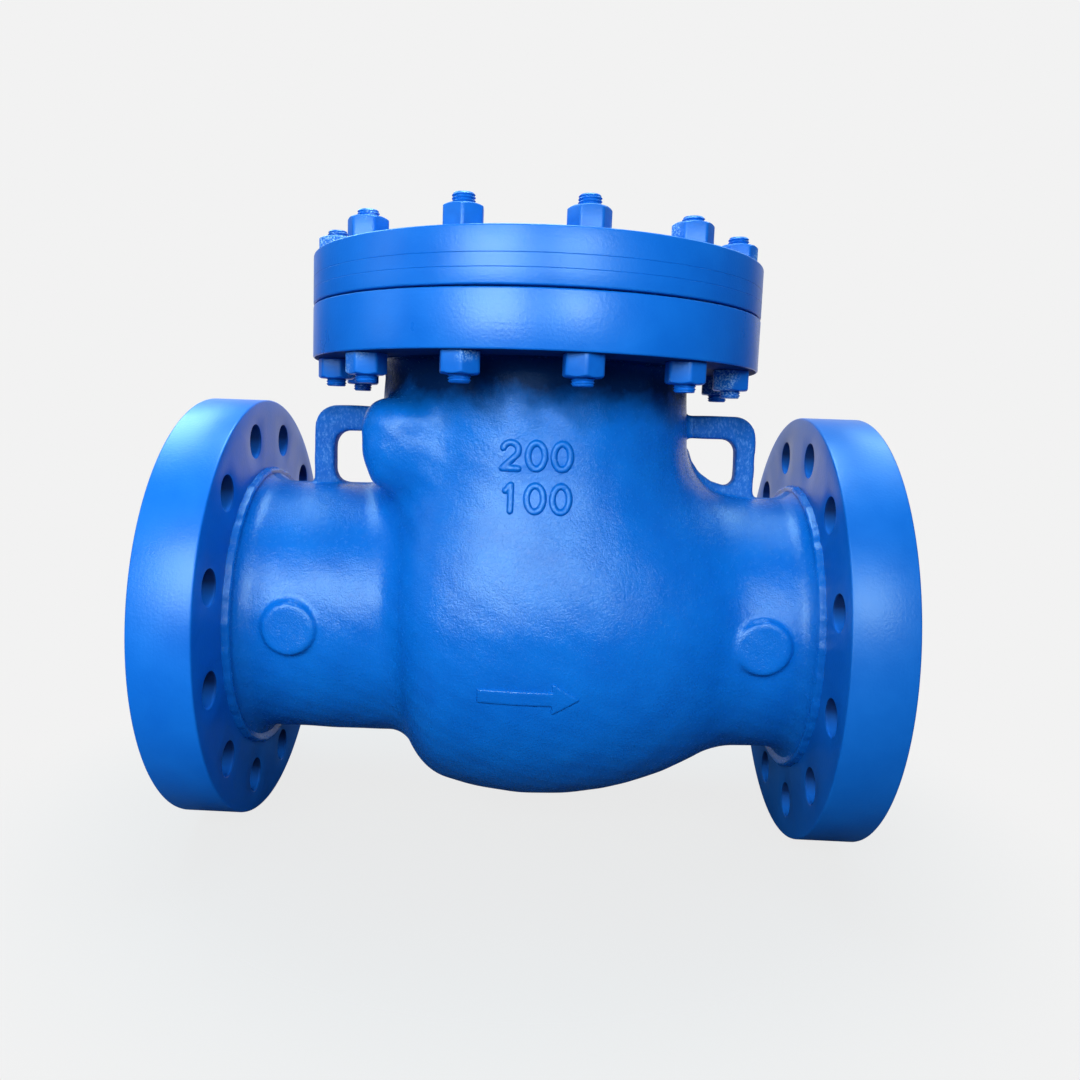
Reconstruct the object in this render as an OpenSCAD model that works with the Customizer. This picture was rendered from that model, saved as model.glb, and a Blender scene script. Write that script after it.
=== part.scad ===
// Flanged swing check valve with a bolted cover.
// The origin is the centre of the inlet's raised face, +X runs along the flow,
// and +Z points up to the cover. Every length is in millimetres.

/* [End flanges] */
// Distance from the raised face of the inlet to that of the outlet
face_to_face = 660; // [640:1:720]
// Thickness of an end flange, without its raised face
flange_thick = 55.6; // [45:0.1:65]
// Diameter of the raised face
raised_face_od = 269.9; // [240:0.1:300]
// Height of the raised face
raised_face_height = 7; // [2:0.5:10]
// Diameter of the bolt circle of an end flange
flange_bolt_circle = 349.2; // [340:0.1:365]
// Width of an end flange from its bolt circle to its rim
flange_rim = 35.4; // [30:0.1:45]
// Diameter of a bolt hole in an end flange
flange_hole_d = 31.75; // [26:0.25:36]
// How much wider than the inlet's the outlet's bolt holes are drilled
outlet_drill_wear = 0.35; // [0.05:0.05:0.5]
// Number of bolt holes in an end flange
flange_hole_count = 12; // [8:4:16]
// Width of the unmachined ring left around the neck, on the back of an end flange
hub_ring_width = 16; // [8:0.5:18]
// Height of that ring above the machined back of the flange
hub_ring_height = 3; // [1:0.5:6]
// Width of the flat left on top of that ring
hub_ring_land = 1; // [0.5:0.5:2]
// Radius of the fillet from that ring to the neck
hub_fillet = 20; // [14:1:26]

/* [Casting] */
// Bore of the inlet and the outlet
port_d = 200; // [180:1:206]
// Outside diameter of the pipe necks
neck_od = 252; // [244:1:262]
// Outside diameter of the bowl at its widest place
bowl_od = 362; // [350:0.2:380]
// How far downstream of the middle the bowl is widest
bowl_belly = 13; // [0:1:20]
// Radius of the long curve along the bowl
bowl_curve = 320; // [310:5:360]
// Radius of the bowl's rounded shoulder on the inlet side
bowl_shoulder = 58; // [50:1:64]
// Radius of the fillet between the inlet neck and the bowl
inlet_fillet = 30; // [22:1:36]
// Radius of the fillet between the bowl and the outlet neck
outlet_fillet = 80; // [60:5:100]
// How far upstream of the middle the inlet neck ends
bowl_start = 131.5; // [126:0.5:136]
// Wall of the bowl
bowl_wall = 22; // [20:0.5:24]

/* [Bonnet] */
// Outside diameter of the upright neck under the cover
bonnet_od = 304; // [298:1:312]
// Bore of the upright neck
bonnet_bore = 256; // [250:1:258]
// Height of the floor that the upright bore leaves beside the seat
bonnet_floor = 130; // [128:1:134]
// Height at which the upright bore opens into the bowl, downstream of the seat
bonnet_mouth = 96; // [90:1:110]
// Width of the bonnet flange and the cover from the studs' circle to the rim
bonnet_flange_rim = 21.5; // [18:0.5:30]
// Thickness of the bonnet flange
bonnet_flange_thick = 47.5; // [40:0.5:56]
// Height of the bonnet flange's top face above the pipe axis
bonnet_height = 297; // [290:1:320]
// Radius of the fillet under the bonnet flange
bonnet_fillet = 14; // [8:1:18]
// Radius of the flare where the upright neck runs down into the bowl
flare_radius = 110; // [90:5:130]
// Height at which that flare starts
flare_height = 140; // [136:1:146]
// How far the flare turns before it runs into the bowl
flare_turn = 22; // [18:1:26]

/* [Lifting eyes and pads] */
// Distance of a lifting eye's outer side from the middle
eye_reach = 222; // [216:1:228]
// Height of a lifting eye's top above the pipe axis
eye_top = 208.5; // [200:0.5:215]
// Width of a lifting eye's bar
eye_bar = 24.5; // [18:0.5:30]
// Thickness of a lifting eye
eye_thick = 20; // [20:1:36]
// Outer corner radius of a lifting eye
eye_corner = 24; // [15:1:30]
// Corner radius of the opening in a lifting eye
eye_inner_corner = 13; // [8:1:16]
// How far the opening's floor stays above the pipe neck
eye_sill = 4; // [1:0.5:6]
// Distance of the neck pads from the middle
pad_offset = 214.5; // [205:0.5:220]
// Diameter of a neck pad
pad_d = 49; // [36:1:56]
// How far a neck pad stands out of the neck
pad_proud = 5.5; // [3:0.5:9]

/* [Flow arrow] */
// Length of the raised arrow on the front of the bowl
arrow_length = 85; // [70:1:100]
// Length of the arrow's head
arrow_head = 21; // [14:1:28]
// Width of the arrow's head
arrow_head_width = 26; // [20:1:34]
// Width of the arrow's shaft
arrow_shaft_width = 11; // [8:0.5:14]
// How far downstream of the middle the arrow's tip lies
arrow_tip = 52; // [44:1:60]
// How far below the pipe axis the arrow lies
arrow_drop = 38; // [30:0.5:46]
// How far the arrow stands out of the bowl
arrow_proud = 1.4; // [1:0.1:2.4]

/* [Cover and gasket] */
// Thickness of the cover plate
cover_thick = 46.2; // [36:0.1:56]
// Open joint between the cover and the bonnet flange
joint_gap = 1.5; // [1:0.1:3]
// How far the gasket lies outside the upright bore
gasket_inset = 2; // [1:0.5:4]
// Width of the gasket
gasket_width = 14; // [8:1:14]
// Thickness of the gasket when it is tightened
gasket_thick = 4.5; // [3.2:0.1:5]
// Depth of the recess that holds the gasket
recess_depth = 6; // [5.5:0.5:8]

/* [Cover bolting] */
// Number of cover studs
stud_count = 12; // [8:4:16]
// Distance of the cover studs' axes from the upright neck
stud_offset = 43; // [40:0.5:50]
// Turn of the first stud from the front, towards the outlet
stud_turn = 13; // [0:1:30]
// Diameter of a cover stud
stud_d = 19.05; // [16:0.05:22]
// Width of a nut across its flats
nut_flats = 31.75; // [28:0.25:36]
// Height of a nut
nut_height = 18.65; // [15:0.05:22]
// Length of stud that stands out of an upper nut
stud_end = 10.4; // [5:0.1:14]
// Length of stud that stands out of a lower nut
stud_end_below = 7.3; // [3:0.1:12]

/* [Hinge] */
// How far upstream of the middle the hinge pin lies
pin_upstream = 110; // [106:1:112]
// Height of the hinge pin above the pipe axis
pin_height = 170; // [168:1:174]
// Diameter of the hinge pin
pin_d = 20; // [16:0.5:22]
// Wall of a hinge bush
bush_wall = 3; // [2:0.5:4]
// Thickness of a hinge bush's flange
bush_flange = 1.6; // [1:0.1:3]
// Length of a hinge bush inside the hub
bush_length = 22; // [14:1:26]
// Diameter of the arm's hub
hub_d = 38; // [36:0.5:40]
// Length of the arm's hub
hub_length = 58; // [54:1:64]
// Diameter of a pin boss on the outside of the casting
boss_d = 76; // [66:1:80]
// Height of the domed boss's cap
boss_cap = 26; // [20:1:30]
// Distance of the domed boss's tip from the middle plane
boss_tip = 132; // [126:1:146]
// Distance of the flat boss's face from the middle plane
boss_face = 132; // [128:1:140]
// How far the bosses' inner ends stand past the pocket of the arm's hub
boss_step = 2; // [1:0.5:4]
// Length of the pin that each boss holds, measured from the boss's inner face
pin_hold = 80; // [70:1:84]
// Angle that the clapper opens, from the seat to the stop
open_angle = 52; // [40:1:53]
// Reach of the stop lug from the pin axis
stop_reach = 38; // [34:1:44]
// Thickness of the stop lug
stop_thick = 12; // [8:1:16]
// Width of the stop lug
stop_width = 24; // [16:1:40]

/* [Hinge pin plug] */
// Diameter of the plug's threaded shank
plug_d = 30; // [26:1:34]
// Diameter of the plug's collar
plug_collar_d = 46; // [42:1:54]
// Thickness of the plug's collar
plug_collar_thick = 5; // [3:0.5:8]
// Width of the plug's hexagon across its flats
plug_flats = 36; // [28:1:38]
// Height of the plug's hexagon
plug_hex_height = 15; // [8:0.5:20]
// Thickness of the gasket ring under the collar
plug_gasket_thick = 2; // [1:0.5:3]

/* [Seat and disc] */
// How far upstream of the middle the seat face crosses the pipe axis
seat_upstream = 80; // [78:1:82]
// Lean of the seat face, its top towards the inlet
seat_tilt = 5; // [3:0.5:6]
// How much wider than the port, on the radius, the seat ring's pocket is
seat_shoulder = 12; // [11:0.5:14]
// How far the seat ring stands into the port
seat_lip = 1.5; // [1:0.5:4]
// Depth of the pocket that holds the seat ring
seat_depth = 26; // [18:1:30]
// How far the disc reaches past the seat ring, on the radius
disc_overlap = 1; // [0.5:0.5:2]
// Thickness of the disc's rim
disc_rim = 20; // [14:1:24]
// Distance from the seat to the disc's shoulder, which the arm's eye rests on
disc_shoulder = 38; // [34:1:44]
// Diameter of the disc's shoulder
shoulder_d = 56; // [48:1:64]
// Width of the seating band on the disc's face
disc_band = 16; // [12:1:20]
// Depth of the hollow inside the seating band
disc_hollow = 3; // [1:0.5:6]
// Diameter of the disc's stem
stem_d = 28; // [22:1:32]
// Length of stem that stands out of the disc nut
stem_end = 14; // [11:1:20]
// Diameter of the arm's eye
arm_eye_d = 64; // [58:1:72]
// Thickness of the arm's eye
arm_eye_thick = 26; // [18:1:30]
// Thickness of the arm's web
arm_web = 36; // [24:1:44]
// Depth of the arm's web, seen from the side
arm_depth = 22; // [16:1:28]
// Thickness of the disc washer
washer_thick = 4; // [2:0.5:6]
// Width of the disc nut across its flats
disc_nut_flats = 46; // [42:1:50]
// Height of the disc nut
disc_nut_height = 22; // [16:1:28]
// Diameter of the split pin
split_pin_d = 5; // [4:0.5:6]
// Diameter of the wire in the split pin's ring and legs
split_wire_d = 4; // [3:0.5:4.5]
// Length of a bent leg of the split pin
split_leg = 9.5; // [6:0.5:14]
// How far the legs are bent apart from straight
split_bend = 65; // [30:5:80]

/* [Fits] */
// Clearance of a moving shaft in its hole, on the radius
running_gap = 0.06; // [0.02:0.01:0.1]
// Clearance of a fixed piece in its seat, on the radius
fixed_gap = 0.03; // [0.02:0.01:0.1]
// Clearance of a cover stud in its hole, on the radius
stud_gap = 1.6; // [1:0.1:2]
// Clearance between faces that slide or close on each other
face_gap = 0.3; // [0.2:0.1:0.5]
// Clearance of the swinging hub in its pocket
hub_gap = 3; // [2:0.5:3]
// Size of the broken edges
edge_break = 1.5; // [0.5:0.5:2.5]

/* [Hidden] */
$fn = 96;

paint = "#1565c8";
bare_steel = "#9a9da1";
bronze = "#b08646";
graphite = "#4b4d50";

// Steps in one turned arc of the casting, and how far cutters pass through a wall
arc_steps = 8;
cut_through = 5;

middle = face_to_face / 2;
flange_back = raised_face_height + flange_thick;
flange_r = flange_bolt_circle / 2 + flange_rim;
neck_r = neck_od / 2;
hub_ring_r = neck_r + hub_ring_width;
bowl_r = bowl_od / 2;

// Centres of the curves that make up the bowl, as [distance along the flow, radius]
curve_centre = [middle + bowl_belly, bowl_r - bowl_curve];
inlet_centre = [middle - bowl_start, neck_r + inlet_fillet];
shoulder_centre = meeting_centre(curve_centre, bowl_curve - bowl_shoulder,
                                 inlet_centre, bowl_shoulder + inlet_fillet);
outlet_rise = neck_r + outlet_fillet - curve_centre[1];
outlet_run = sqrt(pow(bowl_curve + outlet_fillet, 2) - pow(outlet_rise, 2));
outlet_centre = [curve_centre[0] + outlet_run, neck_r + outlet_fillet];
shoulder_turn = heading(shoulder_centre - curve_centre);
inlet_turn = heading(shoulder_centre - inlet_centre);
outlet_turn = heading(outlet_centre - curve_centre);

// Inside of the bowl
inner_curve = bowl_curve - bowl_wall;
inner_shoulder = bowl_shoulder - bowl_wall;
seat_wall = shoulder_centre[0] - inner_shoulder;
port_r = port_d / 2;
seat_r = port_r + seat_shoulder;
seat_bore_r = port_r - seat_lip;
disc_r = seat_r + disc_overlap;
port_turn = asin((port_r - curve_centre[1]) / inner_curve);

// Cover joint
bonnet_r = bonnet_od / 2;
stud_circle_r = bonnet_r + stud_offset;
bonnet_flange_r = stud_circle_r + bonnet_flange_rim;
gasket_r = bonnet_bore / 2 + gasket_inset + gasket_width;
bonnet_flange_bottom = bonnet_height - bonnet_flange_thick;
recess_floor = bonnet_height - recess_depth;
cover_bottom = bonnet_height + joint_gap;
cover_top = cover_bottom + cover_thick;
stud_bottom = bonnet_flange_bottom - nut_height - stud_end_below;
stud_top = cover_top + nut_height + stud_end;
flare_end_height = flare_height - flare_radius * sin(flare_turn);

// How far each nut happened to stop turning when it was tightened, in degrees
upper_nut_turns = [22, 20, 48, 5, 33, 12, 55, 27, 42, 16, 39, 1];
lower_nut_turns = [1, 21, 40, 10, 30, 50, 15, 35, 5, 25, 45, 8];

// Hinge, with the seat plane measured in the clapper's own leaning frame
pin_x = middle - pin_upstream;
seat_x = middle - seat_upstream;
seat_reach = (seat_x - pin_x) * cos(seat_tilt) - pin_height * sin(seat_tilt);
arm_drop = (seat_x - pin_x) * sin(seat_tilt) + pin_height * cos(seat_tilt);
pin_r = pin_d / 2;
bush_r = pin_r + running_gap + bush_wall;
boss_inner = hub_length / 2 + bush_flange + face_gap;
pin_end = boss_inner + pin_hold;
pocket_r = hub_d / 2 + hub_gap;
boss_inner_r = pocket_r + boss_step;
stop_room = sqrt(pow(bonnet_bore / 2, 2) - pow(stop_width / 2, 2)) - pin_upstream - face_gap;
stop_turn = asin(stop_room / norm([stop_reach, stop_thick / 2])) - atan2(stop_thick / 2, stop_reach);

// Stations along the disc's stem, measured from the seat face
eye_start = disc_shoulder + face_gap;
eye_end = eye_start + arm_eye_thick;
washer_start = eye_end + face_gap;
washer_end = washer_start + washer_thick;
disc_nut_end = washer_end + disc_nut_height;
split_pin_at = disc_nut_end + split_pin_d;
stem_tip = disc_nut_end + stem_end;

// Compass angle of a plane vector
function heading(v) = atan2(v[1], v[0]);

// Point that lies at given distances from two others, on the downstream side
function meeting_centre(a, from_a, b, from_b) =
    let (span = norm(b - a))
    let (along = (from_a * from_a - from_b * from_b + span * span) / (2 * span))
    let (aside = sqrt(from_a * from_a - along * along))
    let (u = (b - a) / span)
    a + along * u + aside * [u[1], -u[0]];

// Points on an arc
function arc(centre, radius, from, to, steps = arc_steps) =
    [for (i = [0 : steps])
        let (angle = from + (to - from) * i / steps)
        centre + radius * [cos(angle), sin(angle)]];

// Outline of one end flange, from the pipe axis to the neck, as [distance from the face, radius]
function end_outline() =
    let (rise = neck_r + hub_fillet)
    let (lip = hub_ring_r - hub_ring_height)
    let (turn = asin((rise - lip) / hub_fillet))
    let (start = flange_back + hub_ring_height + hub_fillet * cos(turn))
    concat(
        [[0, 0], [0, raised_face_od / 2],
         [raised_face_height, raised_face_od / 2],
         [raised_face_height, flange_r - edge_break],
         [raised_face_height + edge_break, flange_r],
         [flange_back - edge_break, flange_r],
         [flange_back, flange_r - edge_break],
         [flange_back, hub_ring_r],
         [flange_back + hub_ring_height, lip + hub_ring_land]],
        arc([start, rise], hub_fillet, 180 + turn, 270));

// Outline of the bowl between the two necks
function bowl_outline() = concat(
    arc(inlet_centre, inlet_fillet, -90, inlet_turn),
    arc(shoulder_centre, bowl_shoulder, inlet_turn + 180, shoulder_turn),
    arc(curve_centre, bowl_curve, shoulder_turn, outlet_turn, 2 * arc_steps),
    arc(outlet_centre, outlet_fillet, outlet_turn + 180, 270));

// The same outline seen from the other end, in the order that closes the shape
function mirrored_outline(points) =
    [for (i = [len(points) - 1 : -1 : 0]) [face_to_face - points[i][0], points[i][1]]];

// Turned solid about the X axis, from points of [distance along the axis, radius]
module turned_along_flow(points) {
    rotate([0, 90, 0])
        rotate_extrude()
            polygon([for (p = points) [p[1], p[0]]]);
}

// Turned solid about the Y axis, from points of [distance along the axis, radius]
module turned_across_flow(points) {
    rotate([-90, 0, 0])
        rotate_extrude()
            polygon([for (p = points) [p[1], p[0]]]);
}

module rod_along_flow(radius, from, to) {
    translate([from, 0, 0])
        rotate([0, 90, 0])
            cylinder(r = radius, h = to - from);
}

module rod_across_flow(radius, from, to) {
    translate([0, from, 0])
        rotate([-90, 0, 0])
            cylinder(r = radius, h = to - from);
}

// Places a copy at each cover stud, numbered from the one next to the front
module at_studs() {
    for (i = [0 : stud_count - 1]) {
        $stud = i;
        translate([middle, 0, 0])
            rotate([0, 0, stud_turn + i * 360 / stud_count - 90])
                translate([stud_circle_r, 0, 0])
                    children();
    }
}

// The hinge pin's place
module at_pin() {
    translate([pin_x, 0, pin_height])
        children();
}

// The clapper's own frame, leaning with the seat, with its origin on the pin axis
module on_clapper() {
    at_pin()
        rotate([0, -seat_tilt, 0])
            children();
}

// The disc's own frame: X along its stem, zero on the seat face
module on_disc() {
    on_clapper()
        translate([seat_reach, 0, -arm_drop])
            children();
}

// Hex prism with rounded-off corners on its free end
module hex_nut(flats, height, bore_r) {
    corners = flats / cos(30);
    drop = (corners - flats) / 2 * tan(30);
    difference() {
        intersection() {
            cylinder(d = corners, h = height, $fn = 6);
            rotate_extrude()
                polygon([[0, 0], [corners / 2, 0], [corners / 2, height - drop],
                         [flats / 2, height], [0, height]]);
        }
        translate([0, 0, -cut_through])
            cylinder(r = bore_r, h = height + 2 * cut_through);
    }
}

// Both end flanges, the necks and the bowl, turned in one piece
module pipe_run() {
    turned_along_flow(concat(end_outline(), bowl_outline(), mirrored_outline(end_outline())));
}

// Upright neck with the bonnet flange
module bonnet() {
    fillet_centre = [bonnet_r + bonnet_fillet, bonnet_flange_bottom - bonnet_fillet];
    flare_centre = [bonnet_r + flare_radius, flare_height];
    rim = bonnet_flange_r;
    translate([middle, 0, 0])
        rotate_extrude()
            polygon(concat(
                [[0, flare_end_height - bowl_wall], [bonnet_r, flare_end_height - bowl_wall]],
                arc(flare_centre, flare_radius, 180 + flare_turn, 180, arc_steps / 2),
                arc(fillet_centre, bonnet_fillet, 180, 90),
                [[rim - edge_break, bonnet_flange_bottom], [rim, bonnet_flange_bottom + edge_break],
                 [rim, bonnet_height - edge_break], [rim - edge_break, bonnet_height],
                 [0, bonnet_height]]));
}

// One lifting eye on the inlet side: a bar that rises from the neck and turns into the bonnet
module lifting_eye() {
    root = middle - bonnet_r + bowl_wall / 2;
    outer = middle - eye_reach;
    sill = neck_r + eye_sill;
    foot = neck_r - bowl_wall / 2;
    translate([0, eye_thick / 2, 0])
        rotate([90, 0, 0])
            linear_extrude(eye_thick)
                difference() {
                    union() {
                        translate([outer, foot])
                            square([root - outer, eye_top - eye_corner - foot]);
                        translate([outer + eye_corner, foot])
                            square([root - outer - eye_corner, eye_top - foot]);
                        translate([outer + eye_corner, eye_top - eye_corner])
                            circle(eye_corner);
                    }
                    eye_opening(outer + eye_bar, root, sill, eye_top - eye_bar);
                }
}

// Opening of a lifting eye, rounded at its outer corners
module eye_opening(from, to, low, high) {
    r = eye_inner_corner;
    translate([from + r, low])
        square([to - from, high - low]);
    translate([from, low + r])
        square([to - from, high - low - 2 * r]);
    translate([from + r, low + r])
        circle(r);
    translate([from + r, high - r])
        circle(r);
}

module both_ends() {
    children();
    translate([face_to_face, 0, 0])
        mirror([1, 0, 0])
            children();
}

// Bosses that carry the pin: domed at the front, flat at the back
module pin_bosses() {
    r = boss_d / 2;
    cap_r = (r * r + boss_cap * boss_cap) / (2 * boss_cap);
    turn = asin(r / cap_r);
    at_pin()
        turned_across_flow(concat(
            arc([cap_r - boss_tip, 0], cap_r, 180, 180 - turn),
            [[boss_face - 2 * edge_break, r], [boss_face, r - 2 * edge_break], [boss_face, 0]]));
}

module neck_pads() {
    reach = neck_r + pad_proud;
    for (side = [-1, 1])
        translate([middle + side * pad_offset, 0, 0])
            turned_across_flow([[-reach, 0], [-reach, pad_d / 2 - edge_break],
                                [edge_break - reach, pad_d / 2], [reach - edge_break, pad_d / 2],
                                [reach, pad_d / 2 - edge_break], [reach, 0]]);
}

// Flow arrow on the front, cut out of a skin that lies on the bowl's long curve
module flow_arrow() {
    neck = arrow_tip - arrow_head;
    tail = arrow_tip - arrow_length;
    skin = arc(curve_centre, bowl_curve + arrow_proud, shoulder_turn, outlet_turn, 2 * arc_steps);
    intersection() {
        turned_along_flow(concat([[skin[0][0], 0]], skin, [[skin[len(skin) - 1][0], 0]]));
        translate([middle, 0, -arrow_drop])
            rotate([90, 0, 0])
                linear_extrude(2 * bowl_r)
                    polygon([[tail, -arrow_shaft_width / 2], [neck, -arrow_shaft_width / 2],
                             [neck, -arrow_head_width / 2], [arrow_tip, 0],
                             [neck, arrow_head_width / 2], [neck, arrow_shaft_width / 2],
                             [tail, arrow_shaft_width / 2]]);
    }
}

// The passage: bowl and outlet bore in one turned shape
module passage() {
    turned_along_flow(concat(
        [[seat_wall, 0]],
        arc(shoulder_centre, inner_shoulder, 180, shoulder_turn),
        arc(curve_centre, inner_curve, shoulder_turn, port_turn, 2 * arc_steps),
        [[face_to_face + cut_through, port_r], [face_to_face + cut_through, 0]]));
}

// Bore of the upright neck, from a given height up
module upright_bore(low) {
    translate([middle, 0, low])
        cylinder(d = bonnet_bore, h = bonnet_height - low + cut_through);
}

// The casting's hollow, with the inner pin bosses left standing
module hollow() {
    difference() {
        union() {
            passage();
            upright_bore(bonnet_floor);
            intersection() {
                upright_bore(bonnet_mouth);
                translate([seat_wall, -bonnet_bore / 2, 0])
                    cube([bonnet_bore, bonnet_bore, bonnet_height]);
            }
            at_pin()
                rod_across_flow(pocket_r, -boss_inner, boss_inner);
        }
        at_pin()
            for (side = [-1, 1])
                scale([1, side, 1])
                    rod_across_flow(boss_inner_r, boss_inner, boss_face);
    }
    rod_along_flow(port_r, -cut_through, seat_wall);
    rod_along_flow(seat_r + fixed_gap, seat_wall - seat_depth, seat_wall + cut_through);
    translate([middle, 0, recess_floor])
        cylinder(r = gasket_r + stud_gap, h = recess_depth + cut_through);
}

// Bolt holes of one end flange, which straddle the centre lines
module flange_bolt_holes(diameter, from, to) {
    for (i = [0 : flange_hole_count - 1])
        rotate([(i + 0.5) * 360 / flange_hole_count, 0, 0])
            translate([0, 0, flange_bolt_circle / 2])
                rod_along_flow(diameter / 2, from, to);
}

module stud_holes(from, to) {
    at_studs()
        translate([0, 0, from])
            cylinder(r = stud_d / 2 + stud_gap, h = to - from);
}

module body() {
    color(paint)
        difference() {
            union() {
                pipe_run();
                bonnet();
                both_ends()
                    lifting_eye();
                pin_bosses();
                neck_pads();
                flow_arrow();
            }
            hollow();
            flange_bolt_holes(flange_hole_d, -cut_through, flange_back + cut_through);
            flange_bolt_holes(flange_hole_d + outlet_drill_wear,
                              face_to_face - flange_back - cut_through, face_to_face + cut_through);
            stud_holes(bonnet_flange_bottom - cut_through, bonnet_height + cut_through);
            at_pin() {
                rod_across_flow(pin_r + fixed_gap, -pin_end, pin_end);
                rod_across_flow(plug_d / 2 + fixed_gap, pin_end, boss_face + cut_through);
            }
        }
}

module seat_ring() {
    reach = 2 * disc_r;
    color(bare_steel)
        difference() {
            rod_along_flow(seat_r, seat_wall - seat_depth, seat_x + seat_depth);
            rod_along_flow(seat_bore_r, 0, middle);
            translate([seat_x, 0, 0])
                rotate([0, -seat_tilt, 0])
                    translate([0, -reach, -reach])
                        cube([reach, 2 * reach, 2 * reach]);
        }
}

module cover() {
    rim = bonnet_flange_r;
    tongue = gasket_r;
    tongue_bottom = recess_floor + gasket_thick;
    color(paint)
        difference() {
            translate([middle, 0, 0])
                rotate_extrude()
                    polygon([[0, tongue_bottom], [tongue, tongue_bottom], [tongue, cover_bottom],
                             [rim - edge_break, cover_bottom], [rim, cover_bottom + edge_break],
                             [rim, cover_top - edge_break], [rim - edge_break, cover_top],
                             [0, cover_top]]);
            stud_holes(cover_bottom - cut_through, cover_top + cut_through);
        }
}

module cover_gasket() {
    color(graphite)
        translate([middle, 0, recess_floor])
            difference() {
                cylinder(r = gasket_r, h = gasket_thick);
                translate([0, 0, -cut_through])
                    cylinder(r = gasket_r - gasket_width, h = gasket_thick + 2 * cut_through);
            }
}

module cover_studs() {
    tip = stud_d / 2 - edge_break;
    color(paint)
        at_studs()
            rotate_extrude()
                polygon([[0, stud_bottom], [tip, stud_bottom], [stud_d / 2, stud_bottom + edge_break],
                         [stud_d / 2, stud_top - edge_break], [tip, stud_top], [0, stud_top]]);
}

module cover_nuts_upper() {
    color(paint)
        at_studs()
            translate([0, 0, cover_top])
                rotate([0, 0, upper_nut_turns[$stud % len(upper_nut_turns)]])
                    hex_nut(nut_flats, nut_height, stud_d / 2 + fixed_gap);
}

module cover_nuts_lower() {
    color(paint)
        at_studs()
            translate([0, 0, bonnet_flange_bottom])
                rotate([180, 0, lower_nut_turns[$stud % len(lower_nut_turns)]])
                    hex_nut(nut_flats, nut_height, stud_d / 2 + fixed_gap);
}

module hinge_pin() {
    color(bare_steel)
        at_pin()
            turned_across_flow([[-pin_end, 0], [-pin_end, pin_r - edge_break],
                                [edge_break - pin_end, pin_r], [pin_end - edge_break, pin_r],
                                [pin_end, pin_r - edge_break], [pin_end, 0]]);
}

module hinge_pin_plug() {
    collar = boss_face + plug_gasket_thick;
    hex = collar + plug_collar_thick;
    color(paint)
        at_pin() {
            rod_across_flow(plug_d / 2, pin_end, collar);
            rod_across_flow(plug_collar_d / 2, collar, hex);
            translate([0, hex, 0])
                rotate([-90, 0, 0])
                    hex_nut(plug_flats, plug_hex_height, 0);
        }
}

module plug_gasket() {
    color(graphite)
        at_pin()
            difference() {
                rod_across_flow(plug_collar_d / 2, boss_face, boss_face + plug_gasket_thick);
                rod_across_flow(plug_d / 2 + fixed_gap, 0, boss_face + plug_collar_d);
            }
}

// The arm's web in its own plane: out from the hub, past the disc's rim, down to the eye
module arm_web_outline() {
    front = seat_reach + eye_start + (arm_eye_thick - arm_depth) / 2;
    back = front + arm_depth;
    rim_top = disc_r - arm_drop;
    knee = rim_top + arm_depth / 2;
    hub_r = hub_d / 2;
    polygon([[0, hub_r], [hub_r, hub_r / 2], [back, knee], [back, -arm_drop],
             [front, -arm_drop], [front, rim_top], [front - arm_depth, knee], [-hub_r / 2, -hub_r / 2]]);
}

module hinge_arm() {
    color(bare_steel)
        difference() {
            union() {
                on_clapper() {
                    rod_across_flow(hub_d / 2, -hub_length / 2, hub_length / 2);
                    translate([0, arm_web / 2, 0])
                        rotate([90, 0, 0])
                            linear_extrude(arm_web)
                                arm_web_outline();
                    rotate([0, open_angle + seat_tilt - stop_turn, 0])
                        translate([-stop_thick / 2, -stop_width / 2, 0])
                            cube([stop_thick, stop_width, stop_reach]);
                }
                on_disc()
                    rod_along_flow(arm_eye_d / 2, eye_start, eye_end);
            }
            on_clapper()
                rod_across_flow(bush_r + fixed_gap, -hub_length, hub_length);
            on_disc()
                rod_along_flow(stem_d / 2 + running_gap, 0, stem_tip);
        }
}

// One flanged bush, for the end of the hub that points along +Y
module arm_bush() {
    bore = pin_r + running_gap;
    from = hub_length / 2 - bush_length;
    to = hub_length / 2 + bush_flange;
    color(bronze)
        on_clapper()
            turned_across_flow([[from, bore], [from, bush_r], [hub_length / 2, bush_r],
                                [hub_length / 2, hub_d / 2 - edge_break],
                                [to, hub_d / 2 - edge_break], [to, bore]]);
}

module arm_bush_front() {
    mirror([0, 1, 0])
        arm_bush();
}

module arm_bush_rear() {
    arm_bush();
}

module disc() {
    r = disc_r;
    band = r - disc_band;
    dome = disc_shoulder - disc_hollow;
    color(bare_steel)
        difference() {
            on_disc()
                turned_along_flow([
                    [face_gap + disc_hollow, 0], [face_gap + disc_hollow, band - disc_hollow],
                    [face_gap, band], [face_gap, r - edge_break], [face_gap + edge_break, r],
                    [disc_rim - edge_break, r], [disc_rim, r - edge_break],
                    [disc_rim, r - disc_band], [dome, shoulder_d / 2 + disc_band],
                    [dome, shoulder_d / 2], [disc_shoulder, shoulder_d / 2],
                    [disc_shoulder, stem_d / 2], [stem_tip - edge_break, stem_d / 2],
                    [stem_tip, stem_d / 2 - edge_break], [stem_tip, 0]]);
            on_disc()
                translate([split_pin_at, 0, -stem_d])
                    cylinder(r = split_pin_d / 2 + face_gap, h = 2 * stem_d);
        }
}

module disc_washer() {
    color(bare_steel)
        on_disc()
            difference() {
                rod_along_flow(disc_nut_flats / 2 + edge_break, washer_start, washer_end);
                rod_along_flow(stem_d / 2 + face_gap, 0, stem_tip);
            }
}

module disc_nut() {
    color(bare_steel)
        on_disc()
            translate([washer_end, 0, 0])
                rotate([0, 90, 0])
                    hex_nut(disc_nut_flats, disc_nut_height, stem_d / 2 + fixed_gap);
}

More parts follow.
